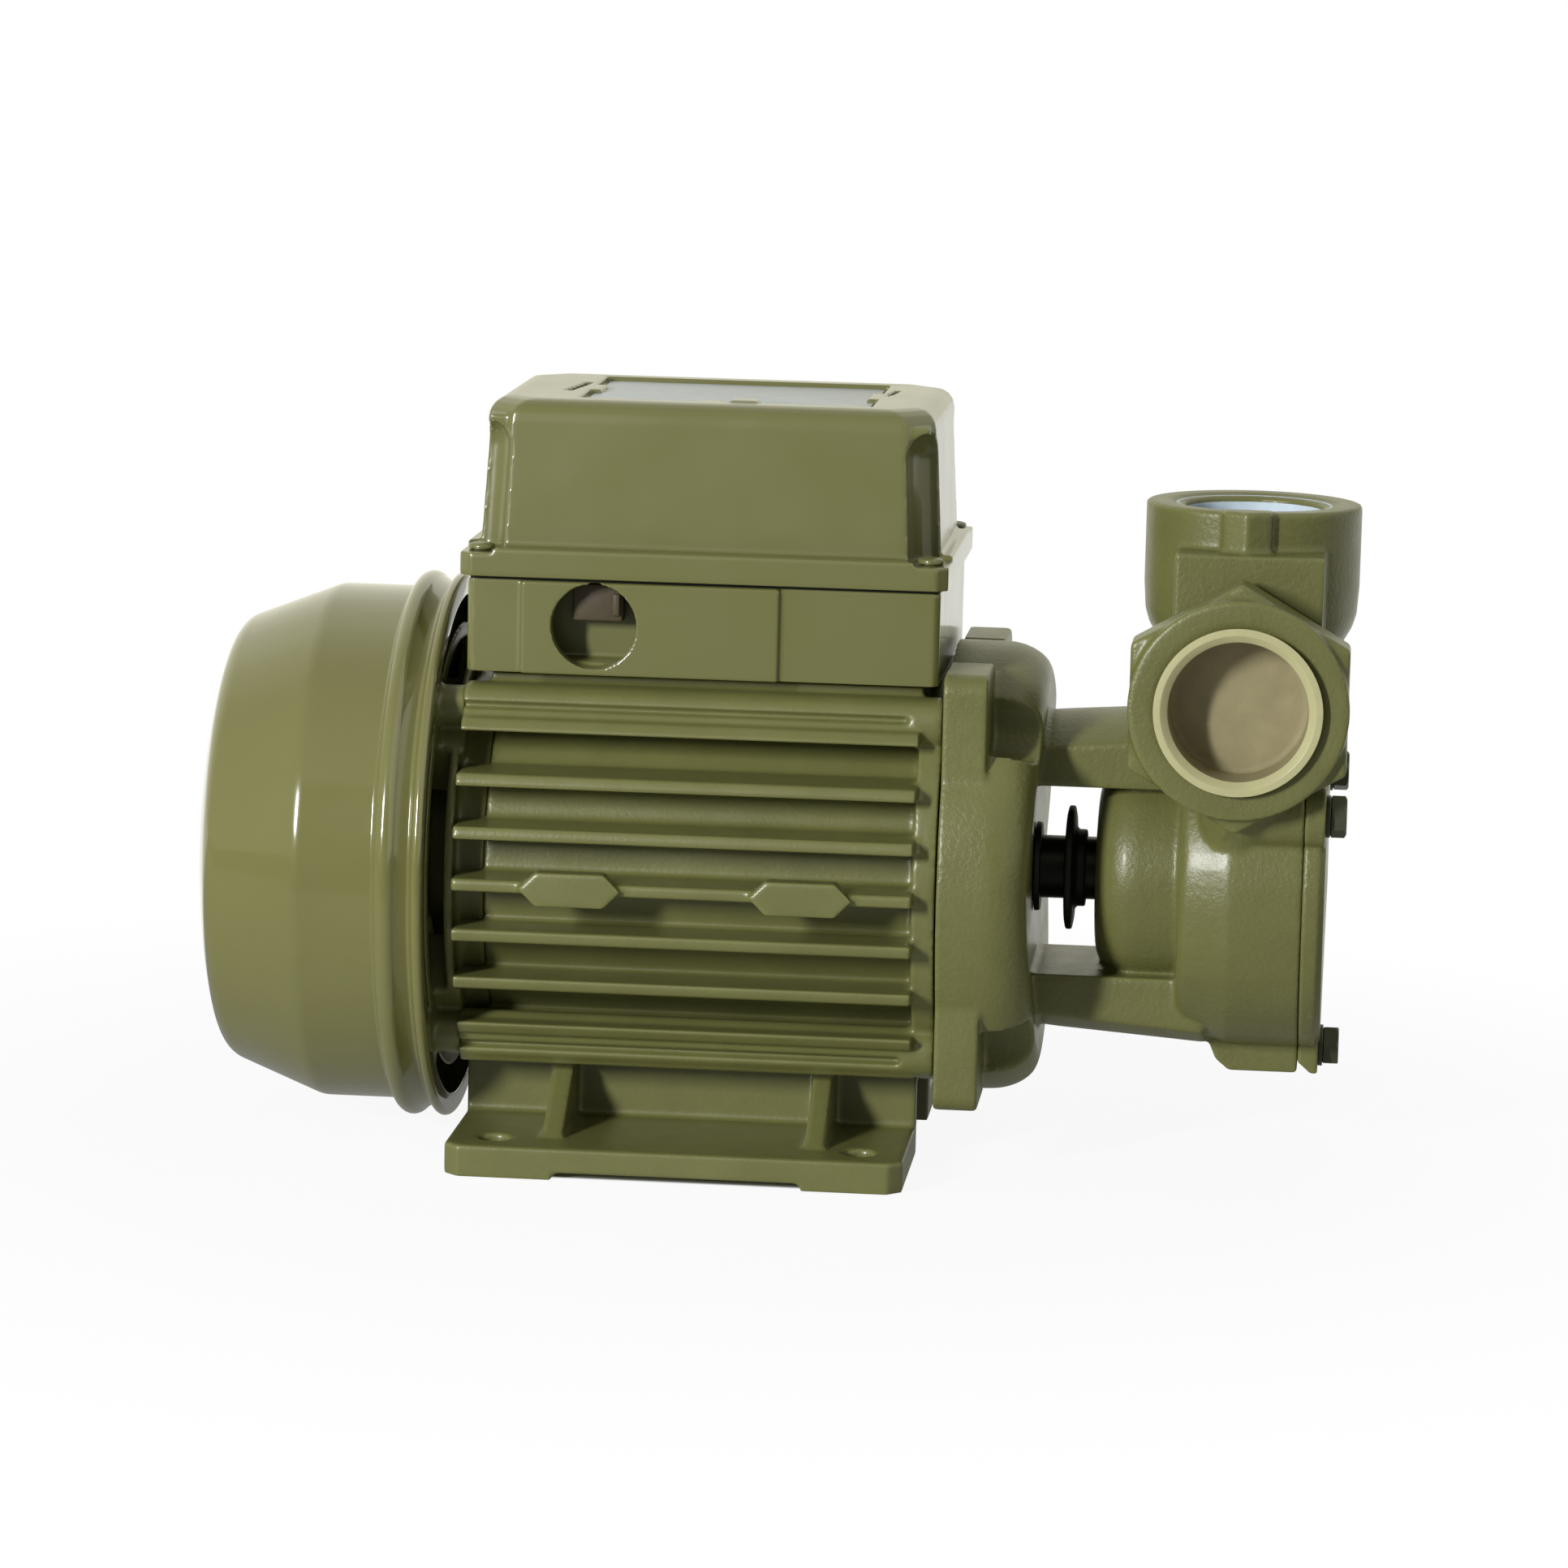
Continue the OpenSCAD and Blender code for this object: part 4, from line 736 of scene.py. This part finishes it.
class PUMP_OT_port_faces(PumpOperator):
    """Machined faces, chamfers and bores of the suction and discharge ports"""

    bl_idname = "water_pump.port_faces"
    bl_label = "Port faces"

    def outline(self, s):
        bore, face, depth = s.bore_width / MM / 2, s.face_width / MM / 2, s.depth / MM
        return bore, [
            (-0.62, face - 0.05, 0.25), (-0.50, bore + 1.5, 0.15), (-1.9, bore - 0.12, 0.15),
            (-depth + 0.6, bore - 0.12, 0.8), (0.08 - depth, bore - 1.2, 0.8), (0.08 - depth, 0, 0)]

    def build(self, pump):
        s = pump.ports
        mounts = {mount["name"]: Vector(mount["pos_m"]) / MM for mount in frame["record"]["mounts"]}
        suction, discharge = mounts["suction_port"], mounts["discharge_port"]
        places = {
            "suction": (at(suction.x, bracket_low.y, suction.z) @ FACING_FRONT,
                        tuple(s.suction_ring), tuple(s.bore)),
            # The discharge bore takes the face's bluish white as a painted reflection of the white
            # surroundings.
            "discharge": (at(discharge.x, discharge.y, bracket_high.z) @ FACING_UP,
                          tuple(s.discharge_face_and_reflection), tuple(s.discharge_face_and_reflection)),
        }
        for port, (place, colour, inner) in places.items():
            bore, outline = self.outline(s)
            mesh = lathe(eased(outline, 0.3, 3, closed=False), 128, closed=False)
            for face in mesh.faces:
                centre = face.calc_center_median()
                face.material_index = 0 if math.hypot(centre.y, centre.z) > bore else 1
                if face.normal.x < 0 and abs(face.normal.x) > 0.5:
                    face.normal_flip()
            ring = surface(port + "_face_metal", colour, 0.34, mottle=0.04, mottle_size=7,
                           grain=0.006, grain_size=0.5, rings=0.35)
            wall = surface(port + "_bore_metal", inner, 0.6, mottle=0.10, mottle_size=6,
                           grain=0.05, grain_size=0.7, fine=0.02, specular=0.3)
            add_piece(port + "_port_face", mesh, "frame", "cast_iron_paint",
                      finishes=[ring, wall], place=place)


# ---- Fan cover ----


class PUMP_OT_fan_cover(PumpOperator):
    """Pressed fan cover with two rolled beads and radial air slots"""

    bl_idname = "water_pump.fan_cover"
    bl_label = "Fan cover"

    def build(self, pump):
        s = pump.fan_cover
        sheet, bead = s.sheet / MM, s.bead / MM
        rim, end = cover_high.x, cover_low.x
        peak = (cover_high.z - cover_low.z) / 2
        wall = peak - bead - 1.0
        axis = peak - bead
        lip = 0.5 * bead
        first, second = rim - lip, rim - 8.35
        waist, brow, crown = end + 26.5, wall - 8.4, 36
        outside = [
            (rim, wall - sheet, 0.3), *bend(first, peak - lip, lip, 90, -58), (rim - 3.3, wall + 0.5, 0.7),
            *bend(second, axis, bead, 60, -80), (second - bead - 0.3, wall, 0.7), (waist, wall, 1.4),
            (end + 5.2, brow, 3.2), (end + 1.5, crown, 12), (end, 0, 0)]
        inside = [
            (end + sheet, 0, 0), (end + 1.5 + sheet, crown - 0.5, 12),
            (end + 5.2 + sheet * 0.8, brow - sheet, 2.5), (waist, wall - sheet, 1.2)]
        work = shell(lathe(eased(outside + inside, 0.3, 8), 240))
        slot_in, slot_out, slot_r = 15.6, 36.9, 1.6
        cutters = []
        for i in range(s.slots):
            ring = []
            for middle, start in ((slot_out, -math.pi / 2), (slot_in, math.pi / 2)):
                for k in range(17):
                    a = math.pi * k / 16 + start
                    ring.append((middle + slot_r * math.cos(a), slot_r * math.sin(a)))
            cutters.append(moved(
                moved(prism(ring, -2, 9), Matrix.Rotation(math.radians(90), 4, "Y")),
                at(end, 0, 0) @ Matrix.Rotation(2 * math.pi * i / s.slots, 4, "X")))
        data = settled(cut_away(work, joined(cutters)))
        data.transform(at(0, 0, SHAFT_Z * MM))
        add_piece("fan_cover_pressing", smoothed(data, 40), "frame", "cover_paint", ["fan_cover"])


# ---- Terminal box ----


class PUMP_OT_terminal_box(PumpOperator):
    """Moulded terminal box: base with the cable entry, and the lid"""

    bl_idname = "water_pump.terminal_box"
    bl_label = "Terminal box"
    panel = (-37.5, 18.7)
    entry, entry_x, entry_z = 9.3, -21.6, 118.5
    flute_x, flute_y = 49.5, 34.5

    def flute(self, x, y):
        """Hollow down one corner of the lid, with a rounded upper end, leaning in with the walls."""
        foot, height, r, slope = lid_high.z - 31.9, 27.2, 6.0, 0.05
        outline = [(-1, 0), (-1, r), (height - r, r), *bend(height - r, 0, r, 0, 90)]
        made = moved(lathe([p[:2] for p in outline], 64, closed=False), FACING_UP)
        bmesh.ops.scale(made, vec=(0.92, 1.5, 1), verts=made.verts)
        lean = Matrix.Identity(4)
        lean[0][2] = -math.copysign(slope, x)
        lean[1][2] = -math.copysign(slope, y)
        middle = (lid_low.x + lid_high.x) / 2
        return moved(moved(made, lean), at(middle + x, y, foot))

    def build(self, pump):
        s = pump.box
        faces = pump.casting.faces
        front = base_low.y
        left, right = self.panel
        raised = drawn(cut_away(
            shell(brick((left, front - 1.2, base_low.z), (right, front + 0.8, base_high.z), 0.25)),
            moved(lathe([(-4, 0), (-4, self.entry), (4, self.entry), (4, 0)], 96, closed=False),
                  at(self.entry_x, front, self.entry_z) @ FACING_FRONT)))
        fill = brick((left - 0.6, front, base_low.z + 0.1), (left + 0.4, front + 0.8, base_high.z - 0.1))
        wall = brick((self.entry_x - 12.5, front + 10.0, base_low.z + 1.5),
                     (self.entry_x + 12.5, front + 11.6, base_high.z - 0.6))
        base = rounded_form(solid_copy("terminal_box_base"), s.cell, 1, faces, adds=[raised, fill, wall])
        strip = brick((self.entry_x - 5.4, front + 5.0, self.entry_z + 0.4),
                      (self.entry_x + 5.6, front + 9.6, base_high.z - 1.0), 0.5)
        clamp = brick((self.entry_x + 3.4, front + 4.2, self.entry_z + 1.8),
                      (self.entry_x + 5.0, front + 5.4, self.entry_z + 6.6), 0.3)
        bakelite = surface("brown_moulding", shown(72, 62, 40), 0.5, mottle=0.12, mottle_size=4, grain=0.02,
                           grain_size=0.5)
        add_piece("terminal_strip", joined([strip, clamp]), "frame", "black_plastic", finishes=[bakelite])
        add_piece("terminal_box_base_moulding", base, "frame", "box_plastic", ["terminal_box_base"])
        top = lid_high.z
        middle = (plate_low.x + plate_high.x) / 2
        centre, foot = (lid_low.x + lid_high.x) / 2, lid_high.z - 32.5
        corners, posts = [], []
        for x in (-self.flute_x, self.flute_x):
            for y in (-self.flute_y, self.flute_y):
                corners.append(self.flute(x, y))
                block = brick((centre + x - math.copysign(9.5, x), y - math.copysign(12.5, y), foot),
                              (centre + x - math.copysign(1.6, x), y - math.copysign(1.0, y), top - 3.5))
                posts.append(drawn(cut_away(shell(block), self.flute(x, y))))
        slant = Matrix.Rotation(math.radians(-7), 4, "Z")
        cuts = [
            joined(corners),
            moved(moved(brick((-0.8, -10, top - 2.2), (0.8, 10, top + 1)), slant),
                  at(middle - 35.4, 0, 0)),
            moved(moved(brick((-0.6, -9, top - 1.4), (0.6, 9, top + 1)), slant),
                  at(middle + 33.6, 4, 0)),
        ]
        low, high = top - 2.4, top - 0.05
        adds = [
            brick((middle - 6.4, plate_low.y - 2.2, low), (middle - 0.4, plate_low.y + 3.4, high), 0.5),
            brick((middle + 1.0, plate_low.y - 2.2, low), (middle + 7.3, plate_low.y + 4.4, high + 0.5), 0.5),
            brick((plate_low.x - 2.2, -6, low), (plate_low.x + 1.4, 6, high), 0.5),
            brick((plate_high.x - 1.6, -8, low), (plate_high.x + 2.2, 6, high), 0.5),
            *posts,
        ]
        lid = rounded_form(solid_copy("terminal_box_lid"), s.cell, 3, faces, cuts, adds)
        add_piece("terminal_box_lid_moulding", lid, "frame", "box_plastic", ["terminal_box_lid"])


class PUMP_OT_rating_plate(PumpOperator):
    """Bare metal plate in the lid's recess"""

    bl_idname = "water_pump.rating_plate"
    bl_label = "Rating plate"

    def build(self, pump):
        r = 2
        x0, x1, y0, y1 = plate_low.x + r, plate_high.x - r, plate_low.y + r, plate_high.y - r
        outline = []
        for x, y, start in ((x1, y1, 0), (x0, y1, 90), (x0, y0, 180), (x1, y0, 270)):
            for k in range(7):
                a = math.radians(start + 15 * k)
                outline.append((x + r * math.cos(a), y + r * math.sin(a)))
        mesh = prism(outline, plate_low.z, plate_high.z, 0.12)
        add_piece("rating_plate_blank", mesh, "frame", "plate_aluminium", ["rating_plate"])


class PUMP_OT_lid_screws(PumpOperator):
    """Slotted screws that hold the lid"""

    bl_idname = "water_pump.lid_screws"
    bl_label = "Lid screws"

    def build(self, pump):
        seat, tip, rim = screw_high.z - 2.2, screw_low.z, 3.2
        spots = [(x, y) for x in (screw_low.x + rim, screw_high.x - rim)
                 for y in (screw_low.y + rim, screw_high.y - rim)]
        shank, length, head, height = 1.85, seat - tip, 2.9, 1.3
        profile = eased([(0, 0), (0, 1.7, 0.1), (length - 1.2, shank, 0.2), (length, shank, 0.05),
                         (length, head, 0.1), (length + 0.9, head, 0.5), (length + height, 1.8, 0.5),
                         (length + height, 0)], 0.2, 3, closed=False)
        parts = [moved(lathe(profile, 48, closed=False), at(x, y, tip) @ FACING_UP)
                 for x, y in spots]
        slots = [brick((x - 4, y - 0.4, seat + 0.6), (x + 4, y + 0.4, seat + 4)) for x, y in spots]
        data = smoothed(settled(cut_away(shell(joined(parts)), joined(slots))), 35)
        paint = surface("painted_screws", tuple(pump.box.plastic), 0.34, mottle=0.1, mottle_size=2,
                        grain=0.02, grain_size=0.4, coat=0.4)
        add_piece("lid_screw_set", data, "frame", "spring_steel", ["lid_screws"], [paint])


# ---- Fastenings and turned pieces ----


class PUMP_OT_bolts(PumpOperator):
    """Hexagon-headed tie bolts and cover bolts, with their washers"""

    bl_idname = "water_pump.bolts"
    bl_label = "Bolts and washers"

    def bolt(self, s, length, turn=0.0):
        head = moved(hexagon_head(s.flats / MM, s.head / MM), Matrix.Rotation(math.radians(turn), 4, "X"))
        r = 2.46
        outline = [(-length, 0), (-length, 1.8, 0.1), (0.7 - length, r, 0.1), (0.1, r, 0.1), (0.1, 0)]
        shank = lathe(eased(outline, 0.1, 2, closed=False), 48, closed=False)
        return joined([head, shank])

    def build(self, pump):
        s = pump.fastenings
        half = s.flats / MM / 2
        tie_y = tie_high.y - half
        tie_z = (tie_high.z - tie_low.z) / 2 - half / math.cos(math.radians(30))
        seat = tie_low.x + s.head / MM
        parts = [moved(moved(self.bolt(s, tie_high.x - seat, 12 * i + 5), Matrix.Rotation(math.pi, 4, "Z")),
                       at(seat, sy * tie_y, SHAFT_Z + sz * tie_z))
                 for i, (sy, sz) in enumerate(((-1, -1), (-1, 1), (1, -1), (1, 1)))]
        add_piece("tie_bolt_set", joined(parts), "frame", "dark_bolt_steel", ["tie_bolts"], crease=25)
        seat = bolt_high.x - s.head / MM
        washer = 4.6
        radius = SHAFT_Z - (washer_low.z + washer)
        spots = [(-radius * math.sin(math.radians(a)), SHAFT_Z + radius * math.cos(math.radians(a)))
                 for a in (60, -60, 180)]
        parts = [moved(self.bolt(s, seat - bolt_low.x, 9 * i), at(seat, y, z))
                 for i, (y, z) in enumerate(spots)]
        add_piece("cover_bolt_set", joined(parts), "frame", "dark_bolt_steel", ["cover_bolts"], crease=25)
        profile = eased([(0, 2.6), (1, 2.6), (1, washer), (0, washer)], 0.18, 3)
        parts = [moved(lathe(profile, 64), at(washer_low.x, y, z)) for y, z in spots]
        add_piece("cover_washer_set", joined(parts), "frame", "dark_bolt_steel", ["cover_washers"])


class PUMP_OT_slinger(PumpOperator):
    """Rubber slinger disc on its sleeve, and the dust ring beside the shield"""

    bl_idname = "water_pump.slinger"
    bl_label = "Slinger and dust ring"

    def build(self, pump):
        lip = (slinger_high.z - slinger_low.z) / 2
        x0, x1 = slinger_low.x, slinger_high.x
        fit, sleeve = 7.02, 8.6
        profile = [(x0, fit), (x0, lip - 1.6, 0.2), (x0 + 0.35, lip, 0.4), (x0 + 1.65, lip, 0.4),
                   (x0 + 2.0, lip - 1.8, 0.2), (x0 + 2.0, sleeve + 1, 0.6), (x0 + 2.7, sleeve, 0.4),
                   (x1, sleeve, 0.5), (x1, fit)]
        middle = at(0, 0, SHAFT_Z)
        add_piece("slinger_rubber", lathe(eased(profile, 0.15, 4), 128), "rotor", "black_rubber",
                  ["slinger"], place=middle)
        ring = (dust_high.z - dust_low.z) / 2
        x0, x1 = dust_low.x, dust_high.x
        profile = [(x0, fit), (x0, ring, 0.35), (x1, ring - 0.2, 0.35), (x1, fit)]
        add_piece("dust_ring_rubber", lathe(eased(profile, 0.1, 4), 96), "rotor", "black_rubber",
                  ["dust_ring"], place=middle)


class PUMP_OT_inner_parts(PumpOperator):
    """Finishes on the solids that are shown as they are"""

    bl_idname = "water_pump.inner_parts"
    bl_label = "Inner parts"

    def build(self, pump):
        slots = {part["node"]: part["material_slot"] for part in frame["record"]["subparts"]}
        for name, solid in frame["nodes"].items():
            if solid.hide_render:
                continue
            solid.data.materials.clear()
            solid.data.materials.append(finish(slots[name]))


# ---- Stage ----


class PUMP_OT_stage(PumpOperator):
    """White floor and surroundings, two lamps and the camera"""

    bl_idname = "water_pump.stage"
    bl_label = "Stage"

    def floor(self):
        """Paper floor: white where it is looked at, but it keeps the pump's own shadow."""
        made, tree, output = blank("white_floor")
        paper = shader_node(tree, "ShaderNodeBsdfDiffuse", None, {"Color": (0.86, 0.86, 0.85, 1)}).outputs[0]
        where = shader_node(tree, "ShaderNodeNewGeometry").outputs["Position"]
        away = shader_node(tree, "ShaderNodeVectorMath", {"operation": "LENGTH"}, {0: where}).outputs["Value"]
        beside = shader_node(tree, "ShaderNodeVectorMath", {"operation": "ABSOLUTE"}, {0: where}).outputs[0]
        apart = shader_node(tree, "ShaderNodeSeparateXYZ", None, {0: beside}).outputs
        covered = maths(tree, "MULTIPLY", span(tree, apart["X"], 0.046, 0.048, 1, 0),
                        span(tree, apart["Y"], 0.055, 0.057, 1, 0))
        shade = maths(tree, "MAXIMUM", span(tree, away, 0.14, 0.30, 0.08, 0.0), covered)
        ahead = shader_node(tree, "ShaderNodeSeparateXYZ", None, {0: where}).outputs["Y"]
        strength = maths(tree, "ADD", span(tree, ahead, -0.30, -0.27, 0.08, 0.26),
                         span(tree, ahead, 0.08, 0.20, 0.0, 0.74))
        mirror = glow(tree, "Emission", (1, 1, 0.92), strength)
        direct = either(tree, shade, glow(tree, "Emission", (1, 1, 1), 1.0), paper)
        tree.links.new(by_ray(tree, paper, mirror, direct), output.inputs["Surface"])
        mesh = bmesh.new()
        bmesh.ops.create_grid(mesh, x_segments=12, y_segments=12, size=4.0)
        floor = placed("floor", as_data(mesh, "floor", 1))
        floor.data.materials.append(made)
        floor.location.z = solids_box[0].z - 0.0002

    def surroundings(self, s):
        """White tent: brighter behind and at the pump end in reflections, dim low in front."""
        world = bpy.data.worlds.new("white_tent")
        world.use_nodes = True
        tree = world.node_tree
        tree.nodes.clear()
        output = tree.nodes.new("ShaderNodeOutputWorld")
        way = shader_node(tree, "ShaderNodeSeparateXYZ", None, {
            0: shader_node(tree, "ShaderNodeTexCoord").outputs["Generated"]}).outputs
        gap = maths(tree, "MULTIPLY", span(tree, way["Y"], -0.84, -0.80, 1, 0),
                    span(tree, way["Z"], 0.63, 0.67, 1, 0))
        pump_end = span(tree, way["X"], 0.0, 0.45, 0.0, 0.60)
        behind = span(tree, way["Y"], 0.0, 0.5, 0.0, 0.50)
        wall = maths(tree, "ADD", maths(tree, "MAXIMUM", pump_end, behind), 0.40)
        tent = maths(tree, "MULTIPLY", wall, span(tree, gap, 0, 1, 1.0, 0.25))
        soft = glow(tree, "Background", (1.0, 1.0, 0.98), s.ambient)
        mirrored = glow(tree, "Background", (1.0, 0.98, 0.80), tent)
        direct = glow(tree, "Background", (1, 1, 1), 1.0)
        tree.links.new(by_ray(tree, soft, mirrored, direct), output.inputs["Surface"])
        world.cycles.sampling_method = "NONE"
        bpy.context.scene.world = world

    def lamp(self, name, place, target, width, height, power, mirrored=True):
        data = bpy.data.lights.new(name, "AREA")
        data.shape = "RECTANGLE"
        data.size = width
        data.size_y = height
        data.energy = power
        made = placed(name, data)
        made.visible_glossy = mirrored
        made.location = place
        made.rotation_euler = (target - place).to_track_quat("-Z", "Y").to_euler()

    def camera(self, s):
        turn, rise, roll = (math.radians(v) for v in (5.36, 9.07, 1.35))
        back = Vector((math.sin(turn) * math.cos(rise), -math.cos(turn) * math.cos(rise), math.sin(rise)))
        right = Vector((math.cos(turn), math.sin(turn), 0))
        up = back.cross(right)
        side = right * math.cos(roll) + up * math.sin(roll)
        head = up * math.cos(roll) - right * math.sin(roll)
        data = bpy.data.cameras.new("camera")
        data.lens = s.lens
        data.sensor_width = 36
        data.clip_start = 0.05
        data.clip_end = 20
        made = placed("camera", data)
        aim, distance = Vector((0.01695, 0, 0.07926)), 1.379
        turned = Matrix((side, head, back)).transposed().to_4x4()
        made.matrix_world = Matrix.Translation(aim + back * distance) @ turned
        bpy.context.scene.camera = made

    def build(self, pump):
        s = pump.stage
        self.floor()
        self.surroundings(s)
        centre = Vector((0.017, 0, 0.08))
        self.lamp("key_softbox", centre + Vector((-0.507, -0.812, 0.292)) * 1.6, centre, 0.12, 0.40, s.key)
        self.lamp("top_softbox", centre + Vector((0.10, 0.30, 1.45)), centre, 0.9, 0.9, s.top, False)
        self.camera(s)
        bpy.context.scene.view_settings.view_transform = "Standard"


# ---- Panel and running ----

STEPS = (
    PUMP_OT_motor_housing, PUMP_OT_rear_shield, PUMP_OT_pump_bracket, PUMP_OT_pump_cover, PUMP_OT_port_faces,
    PUMP_OT_fan_cover, PUMP_OT_terminal_box, PUMP_OT_rating_plate, PUMP_OT_lid_screws, PUMP_OT_bolts,
    PUMP_OT_slinger, PUMP_OT_inner_parts, PUMP_OT_stage,
)


class PUMP_PT_panel(bpy.types.Panel):
    """Sizes, colours and building steps of the pump"""

    bl_idname = "PUMP_PT_panel"
    bl_label = "Water pump"
    bl_space_type = "VIEW_3D"
    bl_region_type = "UI"
    bl_category = "Water pump"

    def draw(self, context):
        pump = context.scene.water_pump
        for group in ("casting", "fan_cover", "box", "ports", "fastenings", "stage"):
            box = self.layout.box()
            settings = getattr(pump, group)
            for key in settings.__annotations__:
                box.prop(settings, key)
        for step in STEPS:
            self.layout.operator(step.bl_idname)


SETTINGS = (
    CastingSettings, FanCoverSettings, BoxSettings, PortSettings, FasteningSettings, StageSettings,
    PumpSettings,
)


def register():
    for group in (*SETTINGS, *STEPS, PUMP_PT_panel):
        bpy.utils.register_class(group)
    bpy.types.Scene.water_pump = PointerProperty(type=PumpSettings)


def unregister():
    del bpy.types.Scene.water_pump
    for group in reversed((*SETTINGS, *STEPS, PUMP_PT_panel)):
        bpy.utils.unregister_class(group)


def main():
    register()
    for step in STEPS:
        getattr(bpy.ops.water_pump, step.bl_idname.split(".")[1])()


if __name__ == "__main__":
    main()
